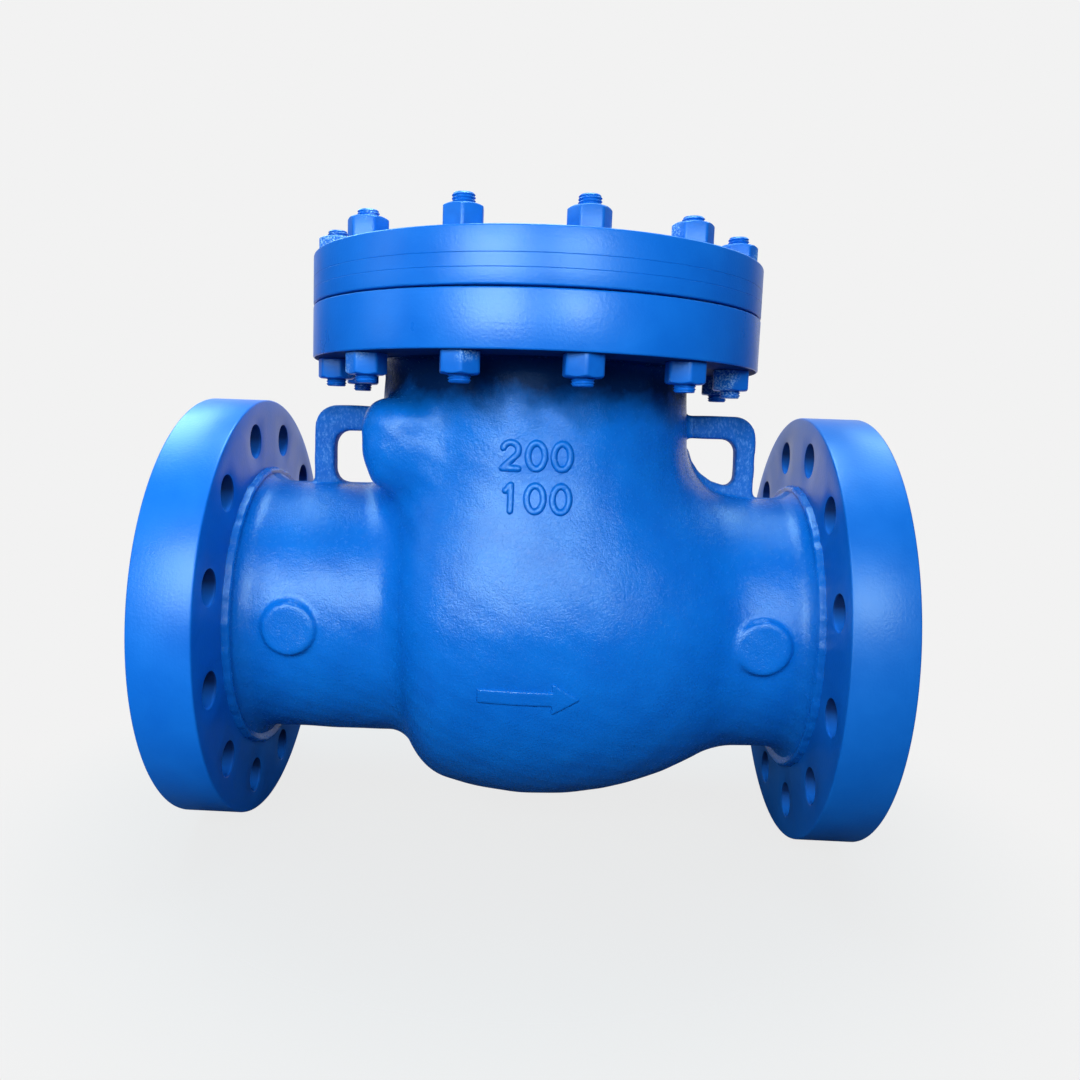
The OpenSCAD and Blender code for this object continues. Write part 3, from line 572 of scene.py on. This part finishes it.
# %% Tracing the casting
def trace(distances, low, step):
    """Points in millimetres and faces of the surface where the distance is zero."""
    grid = openvdb.FloatGrid(3 * step)
    grid.copyFromArray(np.clip(distances, -3 * step, 3 * step).astype(np.float32))
    points, quads = grid.convertToQuads(0.0)
    points = points.astype(float) * step + np.asarray(low)
    corners = points[quads]
    normals = np.cross(corners[:, 2] - corners[:, 0], corners[:, 3] - corners[:, 1])
    normals /= np.maximum(np.linalg.norm(normals, axis=1), 1e-9)[:, None]
    return points, quads, corners.mean(axis=1), normals


def cells(low, high, step):
    """Coordinates of a grid of cells."""
    axes = [np.arange(a, b + step, step) for a, b in zip(low, high)]
    return np.meshgrid(*axes, indexing="ij")


bare_casting, tree, shader, place = start_material("oiled_bare_casting")
cloud = add_node(tree, "TexNoise", {"Vector": place, "Scale": 30, "Detail": 5, "Roughness": 0.6})
sand = add_node(tree, "TexNoise", {"Vector": place, "Scale": 500, "Detail": 3, "Roughness": 0.7})
tone = add_ramp(tree, cloud.outputs["Fac"], [(0.25, "#3C3B3A"), (0.75, "#5D5A57")])
skin = add_node(tree, "Bump", {"Strength": 0.7, "Distance": 0.0006, "Height": sand.outputs["Fac"]})
set_inputs(tree, shader, {"Base Color": tone, "Metallic": 0.7, "Roughness": 0.55, "Normal": skin.outputs[0]})

CELL = 2.5
CAST_LOW = (54.0, -204.0, -198.0)
x, y, z = cells(CAST_LOW, (606.0, 204.0, 294.0), CELL)
solid = np.maximum(outside_of_casting(x, y, z), -hollow_of_casting(x, y, z))
points, quads, middles, normals = trace(solid, CAST_LOW, CELL)
probe = middles + 0.5 * normals
here = np.maximum(outside_of_casting(*middles.T), -hollow_of_casting(*middles.T))
there = np.maximum(outside_of_casting(*probe.T), -hollow_of_casting(*probe.T))
if np.mean(there > here) < 0.5:
    quads = quads[:, ::-1]
casting = add_piece("casting", points, quads, casting_paint, "casting_paint", ["body"], sharp=0)
casting.data.materials.append(rough_paint)
casting.data.materials.append(bare_casting)
inner = np.abs(hollow_of_casting(*middles.T)) < np.abs(outside_of_casting(*middles.T))
on_eye = (np.abs(middles[:, 1]) < 11.5) & (middles[:, 2] > 128.0) & (np.abs(middles[:, 0] - MIDDLE) > 160.0)
index = np.where(inner, 2, np.where(on_eye, 1, 0)).astype(np.int32)
casting.data.polygons.foreach_set("material_index", index)
print("casting:", len(points), "points,", len(quads), "faces,", int(inner.sum()), "of them inside")
del x, y, z, solid

# %% [markdown]
# ## Plates with bolt holes
#
# The end flanges, the bonnet flange and the cover are round plates with a ring of holes. Each hole gets
# its own share of the plate, a sector with the hole in it, so every face is a clean quad. A lathe hand breaks
# each edge, and paint rounds it further.

# %% A drilled plate
def drilled_plate(bore, radius, circle, hole, first, low, high, edge, grooves=(), count=12):
    """Round plate about Z with a ring of holes and tool lines in its rim. A bore of 0 closes the middle."""
    steps = 3
    turns = np.linspace(0, math.pi / 2, steps + 1)
    upper = [(edge * (1 - math.sin(t)), high - edge * (1 - math.cos(t))) for t in turns]
    wall = upper + [(inset, low + high - level) for inset, level in reversed(upper)]
    notch = ((0.0, 0.35), (0.3, 0.0), (0.0, -0.35))
    lines = [(inset, level + offset) for level in grooves for inset, offset in notch]
    rim_wall = sorted(wall + lines, key=lambda corner: -corner[1])
    points, faces, known = [], [], {}

    def add_point(px, py, pz):
        key = (round(px, 4), round(py, 4), round(pz, 4))
        if key not in known:
            known[key] = len(points)
            points.append((px, py, pz))
        return known[key]

    def add_ring(outline, level):
        return [add_point(px, py, level) for px, py in outline]

    def join(ring_a, ring_b, flip):
        for i in range(len(ring_a)):
            j = (i + 1) % len(ring_a)
            face = (ring_a[i], ring_a[j], ring_b[j], ring_b[i])
            faces.append(face[::-1] if flip else face)

    def circle_of(size, turns):
        return [(size * math.cos(t), size * math.sin(t)) for t in turns]

    half = math.pi / count
    inner = bore + edge if bore else circle - 2.2 * hole
    outer = radius - edge
    near_turns, far_turns = [], []
    for i in range(count):
        middle = first + 2 * half * i
        a, b = middle - half, middle + half
        near = [(inner, t) for t in np.linspace(b, a, 10, endpoint=False)]
        left = [(r, a) for r in np.linspace(inner, outer, 8, endpoint=False)]
        far = [(outer, t) for t in np.linspace(a, b, 14, endpoint=False)]
        side = [(r, b) for r in np.linspace(outer, inner, 8, endpoint=False)]
        near_turns += list(np.linspace(a, b, 10, endpoint=False))
        far_turns += [t for _, t in far]
        border = [(r * math.cos(t), r * math.sin(t)) for r, t in near + left + far + side]
        cx, cy = circle * math.cos(middle), circle * math.sin(middle)
        around = [math.atan2(py - cy, px - cx) for px, py in border]
        for level, flip in ((high, False), (low, True)):
            rim = [(cx + (hole + edge) * math.cos(t), cy + (hole + edge) * math.sin(t)) for t in around]
            half_way = [((p[0] + q[0]) / 2, (p[1] + q[1]) / 2) for p, q in zip(border, rim)]
            rings = [add_ring(border, level), add_ring(half_way, level), add_ring(rim, level)]
            join(rings[0], rings[1], flip)
            join(rings[1], rings[2], flip)
        shaft = [add_ring([(cx + (hole + inset) * math.cos(t), cy + (hole + inset) * math.sin(t))
                           for t in around], level) for inset, level in wall]
        for above, below in zip(shaft, shaft[1:]):
            join(above, below, False)
    rims = [add_ring(circle_of(radius - inset, far_turns), level) for inset, level in rim_wall]
    for above, below in zip(rims, rims[1:]):
        join(above, below, True)
    if bore:
        bores = [add_ring(circle_of(bore + inset, near_turns), level) for inset, level in wall]
        for above, below in zip(bores, bores[1:]):
            join(above, below, False)
    else:
        faces.append(add_ring(circle_of(inner, near_turns), high))
        faces.append(add_ring(circle_of(inner, near_turns), low)[::-1])
    return np.array(points), faces


def turned(profile, steps=144):
    """Points and faces of a closed profile of (radius, height) turned about Z."""
    count = len(profile)
    turns = np.linspace(0, 2 * math.pi, steps, endpoint=False)
    points = [(r * math.cos(t), r * math.sin(t), h) for t in turns for r, h in profile]
    faces = []
    for i in range(steps):
        k = (i + 1) % steps
        for j in range(count):
            m = (j + 1) % count
            faces.append((i * count + j, k * count + j, k * count + m, i * count + m))
    return np.array(points), faces


def shade_holes_and_bare_bore(piece, hole, edge, circle, first, along, count=12):
    """Gives the walls of a plate's bolt holes the painted shade, dark navy and lighter where they look up, and
    an end flange's bore the bare casting. along is the axis of the plate, 0 or 2.
    """
    piece.data.materials.append(painted_shade_primer)
    middles = np.array([tuple(face.center) for face in piece.data.polygons]) / MM
    flat = middles[:, 1:] if along == 0 else middles[:, :2] - BONNET_AT[:2]
    turns = first + 2 * math.pi / count * np.arange(count)
    centres = circle * np.column_stack([np.cos(turns), np.sin(turns)])
    off = np.linalg.norm(flat[:, None, :] - centres[None, :, :], axis=2).min(axis=1)
    index = np.where(off < hole + 0.4 * edge, 1, 0).astype(np.int32)
    if along == 0:
        piece.data.materials.append(bare_casting)
        index[np.linalg.norm(flat, axis=1) < PORT_R + 0.5 * edge] = 2
    piece.data.polygons.foreach_set("material_index", index)
    return int(np.count_nonzero(index == 1))


BONNET_AT = np.array([MIDDLE + 0.9, 0.0, 0.8])
half_hole = math.pi / 12
points, faces = drilled_plate(PORT_R, FLANGE_R, FLANGE_CIRCLE_R, FLANGE_HOLE_R, half_hole,
                              RAISED_FACE, FLANGE_BACK, FLANGE_EDGE)
for flange in add_at_both_ends("flange", points, faces, flange_paint, outlet_shaded_paint):
    walls = shade_holes_and_bare_bore(flange, FLANGE_HOLE_R, FLANGE_EDGE, FLANGE_CIRCLE_R, half_hole, 0)
print("end flange:", len(points), "points,", walls, "faces in the holes")

# %% [markdown]
# The bonnet flange sits on top of the upright neck, and the cover on the bonnet flange. A thin open joint
# between them shows how the cover is drawn down on its gasket. The cover's studs start 13 degrees from
# the front.

# %% Bonnet flange and cover
first_stud = math.radians(FIRST_STUD)
points, faces = drilled_plate(145.6, BONNET_FLANGE_R, STUD_CIRCLE_R, STUD_HOLE_R, first_stud,
                              BONNET_FLANGE_LOW, BONNET_TOP, BONNET_EDGE)
bonnet_flange = add_piece("bonnet_flange", points + BONNET_AT, faces, bonnet_paint, "casting_paint", ["body"])
shade_holes_and_bare_bore(bonnet_flange, STUD_HOLE_R, BONNET_EDGE, STUD_CIRCLE_R, first_stud, 2)
# Painted shade: the underside of the bonnet flange takes the dark navy material.
for face in bonnet_flange.data.polygons:
    if face.center.z < (BONNET_FLANGE_LOW + BONNET_AT[2] + 0.1) * MM:
        face.material_index = 1
points, faces = drilled_plate(0, BONNET_FLANGE_R, STUD_CIRCLE_R, STUD_HOLE_R, first_stud,
                              COVER_LOW, COVER_TOP, COVER_EDGE, (322.8, 311.8))
add_piece("cover_plate", points + BONNET_AT, faces, cover_paint, "casting_paint", ["cover"])
points, faces = turned([(0.5, 295.5), (142.8, 295.5), (144.0, 296.6), (144.0, 299.5), (0.5, 299.5)])
add_piece("cover_tongue", points + BONNET_AT, faces, cover_paint, "casting_paint", ["cover"])
print("cover and bonnet flange, joint open by", COVER_LOW - BONNET_TOP, "mm")

# %% [markdown]
# ## Raised faces and hub rings
#
# The gasket face at each end is left bare: it carries fine turned grooves that grip the gasket. Around each
# neck, on the back of the flange, the lathe tool stops short and leaves a low rough ring of casting skin.

# %% Bare turned steel and the rings
face_steel, tree, shader, place = start_material("bare_turned_gasket_face")
centred = add_node(tree, "VectorMath", {0: place, 1: (0.0, 1.0, 1.0)}, operation="MULTIPLY")
grooves = add_node(tree, "TexWave", {"Vector": centred.outputs[0], "Scale": 190, "Distortion": 0.0},
                   wave_type="RINGS", rings_direction="SPHERICAL")
film = add_node(tree, "TexNoise", {"Vector": place, "Scale": 35, "Detail": 4})
tone = add_ramp(tree, film.outputs["Fac"], [(0.3, "#8C8F93"), (0.7, "#B1B3B6")])
cut = add_node(tree, "Bump", {"Strength": 0.5, "Distance": 0.0004, "Height": grooves.outputs["Fac"]})
set_inputs(tree, shader, {"Base Color": tone, "Metallic": 1.0, "Roughness": 0.36, "Normal": cut.outputs[0]})

face_profile = [(PORT_R, 0.8), (PORT_R + 0.8, 0.0), (RAISED_FACE_R - 0.8, 0.0), (RAISED_FACE_R, 0.8),
                (RAISED_FACE_R, RAISED_FACE + 0.5), (PORT_R, RAISED_FACE + 0.5)]
points, faces = turned(face_profile)
add_at_both_ends("raised_face", points, faces, face_steel, face_steel)

RING_TOP = FLANGE_BACK + 7.0
ring_profile = [(NECK_R, FLANGE_BACK - 2), (HUB_RING_R, FLANGE_BACK - 2),
                (HUB_RING_R - 0.3, FLANGE_BACK + 3.0), (HUB_RING_R - 0.9, RING_TOP - 1.2),
                (HUB_RING_R - 2.6, RING_TOP), (HUB_RING_R - 5.0, RING_TOP - 0.6),
                (HUB_RING_R - 8.5, RING_TOP - 2.2), (NECK_R, RING_TOP - 3.5)]
points, faces = turned(ring_profile, 288)
turns = np.arctan2(points[:, 1], points[:, 0])
wobble = 0.7 * np.sin(9 * turns + 1) * np.sin(4 * turns)
wobble += 0.5 * np.sin(31 * turns) + 0.35 * np.sin(67 * turns + 2)
edge_share = np.clip((np.hypot(points[:, 0], points[:, 1]) - 136) / 6, 0, 1)
points[:, :2] *= (1 + edge_share * wobble / HUB_RING_R)[:, None]
add_at_both_ends("hub_ring", points, faces, casting_paint, casting_paint)
print("raised faces and hub rings made")

# %% [markdown]
# ## Studs, nuts and the pin plug
#
# The fasteners are painted in place with the rest, so the paint fills the threads a little and pools at the
# corners. Their tone differs from one to the next, and a few flats were rubbed by a spanner afterwards.

# %% Enamel on fasteners
fastener_paint, tree, shader, place = start_material("blue_enamel_on_fasteners")
island = add_node(tree, "NewGeometry").outputs["Random Per Island"]
cloud = add_node(tree, "TexNoise", {"Vector": place, "Scale": 70, "Detail": 4, "Roughness": 0.6})
peel = add_node(tree, "TexNoise", {"Vector": place, "Scale": 380, "Detail": 3, "Roughness": 0.6})
scuff = add_node(tree, "TexNoise", {"Vector": place, "Scale": 520, "Detail": 4, "Roughness": 0.75})
tone = add_ramp(tree, cloud.outputs["Fac"], [(0.30, "#075AB2"), (0.72, "#0B64BE")])
shift = add_node(tree, "MapRange", {"Value": island, "To Min": 0.90, "To Max": 1.12})
varied = add_node(tree, "HueSaturation", {"Value": shift.outputs[0], "Color": tone})
rubbed = add_node(tree, "MapRange", {"Value": scuff.outputs["Fac"], "From Min": 0.48, "From Max": 0.64})
spots = add_node(tree, "TexNoise", {"Vector": place, "Scale": 22, "Detail": 1})
where = add_node(tree, "MapRange", {"Value": spots.outputs["Fac"], "From Min": 0.55, "From Max": 0.63})
worn = add_node(tree, "Math", {0: rubbed.outputs[0], 1: where.outputs[0]}, operation="MULTIPLY")
coat = add_node(tree, "Mix", {0: worn.outputs[0], 6: varied.outputs[0], 7: colour("#B9CDE6")},
                data_type="RGBA")
skin = add_node(tree, "Bump", {"Strength": 0.35, "Distance": 0.0004, "Height": peel.outputs["Fac"]})
set_inputs(tree, shader, {"Base Color": coat.outputs[2], "Roughness": 0.38, "IOR": 1.5,
                          "Normal": skin.outputs[0]})
print("fastener paint:", fastener_paint.name)

# %% [markdown]
# A heavy hex nut is a hexagon whose corners are turned away at 30 degrees, which leaves the round-topped
# flats that everyone knows. A stud has ten threads to the inch at each end, and its ends are chamfered.

# %% Nuts and studs
def ring_faces(count, columns, closed):
    """Faces between rings of points. Where closed, the last ring is joined to the first."""
    faces = []
    for k in range(count if closed else count - 1):
        m = (k + 1) % count
        for i in range(columns):
            j = (i + 1) % columns
            faces.append((k * columns + i, k * columns + j, m * columns + j, m * columns + i))
    return faces


def hex_nut(flats, height, bore, corner=0.5, columns=120):
    """Points and faces of a nut on z = 0 with a corner along X. A bore of 0 closes its top."""
    turns = np.linspace(0, 2 * math.pi, columns, endpoint=False)
    from_flat = (turns % (math.pi / 3)) - math.pi / 6
    reach = flats / 2 / np.cos(from_flat)
    tip = flats / 2 / math.cos(math.pi / 6) - corner
    reach = smooth_min(reach, np.full(columns, tip), 0.4)
    crown = flats / 2 * 0.96
    shoulder = height - np.maximum(reach - crown, 0) * math.tan(math.radians(30))
    rings = [(max(bore, 0.2), 0.0), (reach - 0.5, 0.0), (reach, 0.5), (reach, shoulder - 0.7)]
    rings += [(reach - 0.25, shoulder - 0.1), (reach - 0.9, shoulder + 0.35), (crown - 0.6, height)]
    rings += [(bore + 1.0, height), (bore, height - 1.0)] if bore else [(0.2, height)]
    level = np.zeros(columns)
    points = np.vstack([np.column_stack([r * np.cos(turns), r * np.sin(turns), level + h]) for r, h in rings])
    return points, ring_faces(len(rings), columns, True)


def threaded_stud(low, high, radius, pitch=2.54, cut=1.1, columns=36, rows_per_turn=8):
    """Points and faces of a stud with threaded, chamfered ends. Its shank inside the holes is plain."""
    shank = (low + 30.0, high - 36.0)
    rise = pitch / rows_per_turn
    levels = np.concatenate([np.arange(low, shank[0], rise), shank, np.arange(high, shank[1], -rise)[::-1]])
    rows = len(levels) - 1
    turns = np.linspace(0, 2 * math.pi, columns, endpoint=False)
    level, turn = np.meshgrid(levels, turns, indexing="ij")
    phase = (level / pitch - turn / (2 * math.pi)) % 1.0
    depth = cut * np.clip(np.abs(2 * phase - 1) * 1.25 - 0.12, 0, 1)
    from_end = np.minimum(level - low, high - level)
    r = np.minimum(radius - depth, radius - 1.6 + from_end)
    r = np.where((level >= shank[0]) & (level <= shank[1]), radius - cut, r)
    points = np.column_stack([(r * np.cos(turn)).ravel(), (r * np.sin(turn)).ravel(), level.ravel()])
    faces = ring_faces(rows + 1, columns, False)
    faces.append(list(range(columns))[::-1])
    faces.append(list(range(rows * columns, (rows + 1) * columns)))
    return points, faces


def gather(parts):
    """Several sets of points and faces as one."""
    points, faces, offset = [], [], 0
    for some_points, some_faces in parts:
        points.append(some_points)
        faces += [tuple(i + offset for i in face) for face in some_faces]
        offset += len(some_points)
    return np.vstack(points), faces


def spun(points, degrees):
    """Points turned about Z."""
    c, s = math.cos(math.radians(degrees)), math.sin(math.radians(degrees))
    px, py, pz = points.T
    return np.column_stack([c * px - s * py, s * px + c * py, pz])


UPPER_TURNS = [22, 49, 12, 5, 33, 12, 55, 27, 42, 16, 14, 20]
LOWER_TURNS = [55, 24, 40, 10, 30, 50, 15, 35, 5, 42, 27, 27]
STUD_DROPS = [1.0, 5.0, 3.0, 2.0, 4.0, 1.0, 3.0, 0.5, 2.5, 4.0, 4.0, 1.0]
STUD_SHIFTS = [0.0, -1.6, -1.2, 0.5, -0.8, 0.0, 1.0, -0.4, 0.8, 0.0, 0.0, 1.2]
nut_points, nut_faces = hex_nut(31.75, 18.65, 9.3)
studs, upper_nuts, lower_nuts = [], [], []
for i in range(12):
    bearing = FIRST_STUD + 30 * i
    turn = math.radians(bearing)
    at = BONNET_AT + STUD_CIRCLE_R * np.array([math.cos(turn), math.sin(turn), 0])
    at += (STUD_SHIFTS[i], 0, 0)
    stud_points, stud_faces = threaded_stud(224.0, 373.0 - STUD_DROPS[i], 9.525)
    studs.append((spun(stud_points, 47 * i) + at, stud_faces))
    upper_nuts.append((spun(nut_points, bearing + UPPER_TURNS[i]) + at + (0, 0, COVER_TOP), nut_faces))
    upside_down = spun(nut_points, bearing + LOWER_TURNS[i]) * (1, 1, -1)
    lower_nuts.append((upside_down + at + (0, 0, BONNET_FLANGE_LOW), [f[::-1] for f in nut_faces]))
add_piece("studs", *gather(studs), fastener_paint, "fastener_paint", ["cover_studs"], sharp=50)
add_piece("upper_nuts", *gather(upper_nuts), fastener_paint, "fastener_paint", ["cover_nuts_upper"])
add_piece("lower_nuts", *gather(lower_nuts), fastener_paint, "fastener_paint", ["cover_nuts_lower"])
print("twelve studs of", len(stud_points), "points, and their nuts")

# %% [markdown]
# The hinge pin goes in from the back, and a hex-headed plug with a collar closes its hole.

# %% Pin plug
collar_points, collar_faces = turned([(0.5, 0), (22.4, 0), (23, 0.6), (23, 4.2), (22.2, 5.0), (0.5, 5.0)], 96)
head_points, head_faces = hex_nut(36.0, 15.0, 0)
shank_points, shank_faces = turned([(0.5, -20), (14.9, -20), (14.9, 0.5), (0.5, 0.5)], 64)
plug_points, plug_faces = gather([(collar_points, collar_faces), (head_points + (0, 0, 5.0), head_faces),
                                  (shank_points, shank_faces)])
plug_points = np.column_stack([plug_points[:, 0] + PIN_X, plug_points[:, 2] + 134.0, PIN_Z - plug_points[:, 1]])
add_piece("pin_plug", plug_points, plug_faces, fastener_paint, "fastener_paint", ["hinge_pin_plug"])
print("plug head ends at y =", round(float(plug_points[:, 1].max()), 1), "mm")

# %% [markdown]
# ## Cast marks
#
# Foundries raise the size, the pressure step and a flow arrow on the bowl's front, with loose letters set into
# the sand. Only the arrow and two plain numbers are made here: the nominal bore in millimetres and the
# nominal pressure in bar. They swell out of the skin with soft feet, so they are traced from the casting's
# own distance with a height added along the strokes.

# %% Strokes of the marks
def oval(centre, width, height):
    """A closed stroke around an oval."""
    turns = np.linspace(0, 2 * math.pi, 29)
    return np.column_stack([centre[0] + width * np.cos(turns), centre[1] + height * np.sin(turns)])


def digit(figure, centre, width, height):
    """Strokes of one figure of the given half width and half height."""
    if figure == "0":
        return [oval(centre, width, height)]
    if figure == "1":
        strokes = [np.array([(-0.5, 0.55), (0.15, 1.0), (0.15, -1.0)])]
    else:
        bend = arc((0.0, 0.42), 0.58, 165.0, -40.0, 12) * (1.6, 1.0)
        strokes = [np.vstack([bend, [(-0.95, -1.0), (0.95, -1.0)]])]
    return [stroke * (width, height) + centre for stroke in strokes]


MARK_X = MIDDLE + 9.0
strokes = []
for row, level in (("200", 167.0), ("100", 131.0)):
    for figure, offset in zip(row, (-22.0, 0.0, 22.0)):
        strokes += digit(figure, (MARK_X + offset, level), 7.2, 11.0)
print(len(strokes), "strokes for the numbers")

# %% Tracing the marks
def from_strokes(px, pz, paths):
    """Distance in the picture plane from the nearest stroke."""
    square = np.full(px.shape, 1e9)
    for line in paths:
        for (x0, z0), (x1, z1) in zip(line, line[1:]):
            dx, dz = x1 - x0, z1 - z0
            share = np.clip(((px - x0) * dx + (pz - z0) * dz) / (dx * dx + dz * dz), 0, 1)
            square = np.minimum(square, (px - x0 - share * dx) ** 2 + (pz - z0 - share * dz) ** 2)
    return np.sqrt(square)


def add_mark(name, low, high, side, height, foot):
    """A raised mark. side gives the distance outside its flat top, in the picture plane."""
    step = 1.0
    x, y, z = cells(low, high, step)
    aside = side(x[:, 0, :], z[:, 0, :])[:, None, :]
    rise = np.clip(aside / foot, 0, 1)
    rise = height + 0.8 - (height + 0.8 + 0.8) * rise * rise * (3 - 2 * rise)
    skin = outside_of_casting(x, y, z)
    shape = np.maximum(np.maximum(skin - rise, aside - foot), -3.0 - skin)
    points, quads, middles, normals = trace(shape, low, step)
    probe = middles + 0.3 * normals
    outward = outside_of_casting(*probe.T) > outside_of_casting(*middles.T)
    facing = outside_of_casting(*middles.T) > -1.5
    if np.mean(outward[facing]) < 0.5:
        quads = quads[:, ::-1]
    return add_piece(name, points, quads, casting_paint, "casting_paint", sharp=0)


numbers = add_mark("cast_numbers", (303.0, -196.0, 113.0), (376.0, -140.0, 185.0),
                   lambda px, pz: from_strokes(px, pz, strokes) - 1.3, 1.6, 2.6)


def beside_arrow(px, pz):
    """Distance outside a plain arrow that points along the flow."""
    tail, neck, tip, level = MIDDLE - 33.0, MIDDLE + 31.0, MIDDLE + 52.0, -38.0
    outline = np.array([(tail, -5.5), (neck, -5.5), (neck, -13.0), (tip, 0.0),
                        (neck, 13.0), (neck, 5.5), (tail, 5.5)])
    table = distance_table(outline + (0, level), (280, -80), (400, 0))
    return look_up(table, px, pz)


arrow = add_mark("flow_arrow", (290.0, -192.0, -60.0), (392.0, -158.0, -18.0), beside_arrow, 1.3, 2.4)
print("marks:", len(numbers.data.vertices), "and", len(arrow.data.vertices), "points")

# %% [markdown]
# ## Inside the valve
#
# The seat ring, the pin and the small hardware are machined stainless steel, the disc and the arm are castings
# with machined faces, the bushes are bronze, and the gaskets are wound from steel strip with graphite between
# the turns.

# %% Materials of the trim
def turned_metal(name, deep, light, roughness, axis, scale):
    """Machined metal with tool marks around an axis."""
    material, tree, shader, place = start_material(name)
    film = add_node(tree, "TexNoise", {"Vector": place, "Scale": 45, "Detail": 4})
    lines = add_node(tree, "TexWave", {"Vector": place, "Scale": scale, "Distortion": 0.5, "Detail": 2},
                     wave_type="BANDS", bands_direction=axis)
    tone = add_ramp(tree, film.outputs["Fac"], [(0.3, deep), (0.7, light)])
    cut = add_node(tree, "Bump", {"Strength": 0.15, "Distance": 0.0002, "Height": lines.outputs["Fac"]})
    set_inputs(tree, shader, {"Base Color": tone, "Metallic": 1.0, "Roughness": roughness,
                              "Normal": cut.outputs[0]})
    return material


trim_steel = turned_metal("machined_stainless_trim", "#8F9092", "#B4B5B7", 0.28, "X", 180)
clapper_steel = turned_metal("cast_clapper_steel", "#5E6062", "#7E8082", 0.45, "X", 90)
bush_bronze = turned_metal("turned_bronze", "#9A7038", "#C09452", 0.32, "Y", 220)
gasket_wound = turned_metal("graphite_and_steel_winding", "#2C2D2F", "#55575A", 0.5, "Z", 300)
dressed = {
    "seat_ring": trim_steel, "hinge_pin": trim_steel, "disc_washer": trim_steel, "disc_nut": trim_steel,
    "disc_split_pin": trim_steel, "disc": clapper_steel, "hinge_arm": clapper_steel,
    "arm_bush_front": bush_bronze, "arm_bush_rear": bush_bronze,
    "cover_gasket": gasket_wound, "plug_gasket": gasket_wound,
}
for name, material in dressed.items():
    nodes[name].data.materials.clear()
    nodes[name].data.materials.append(material)
print("dressed", len(dressed), "measured nodes")
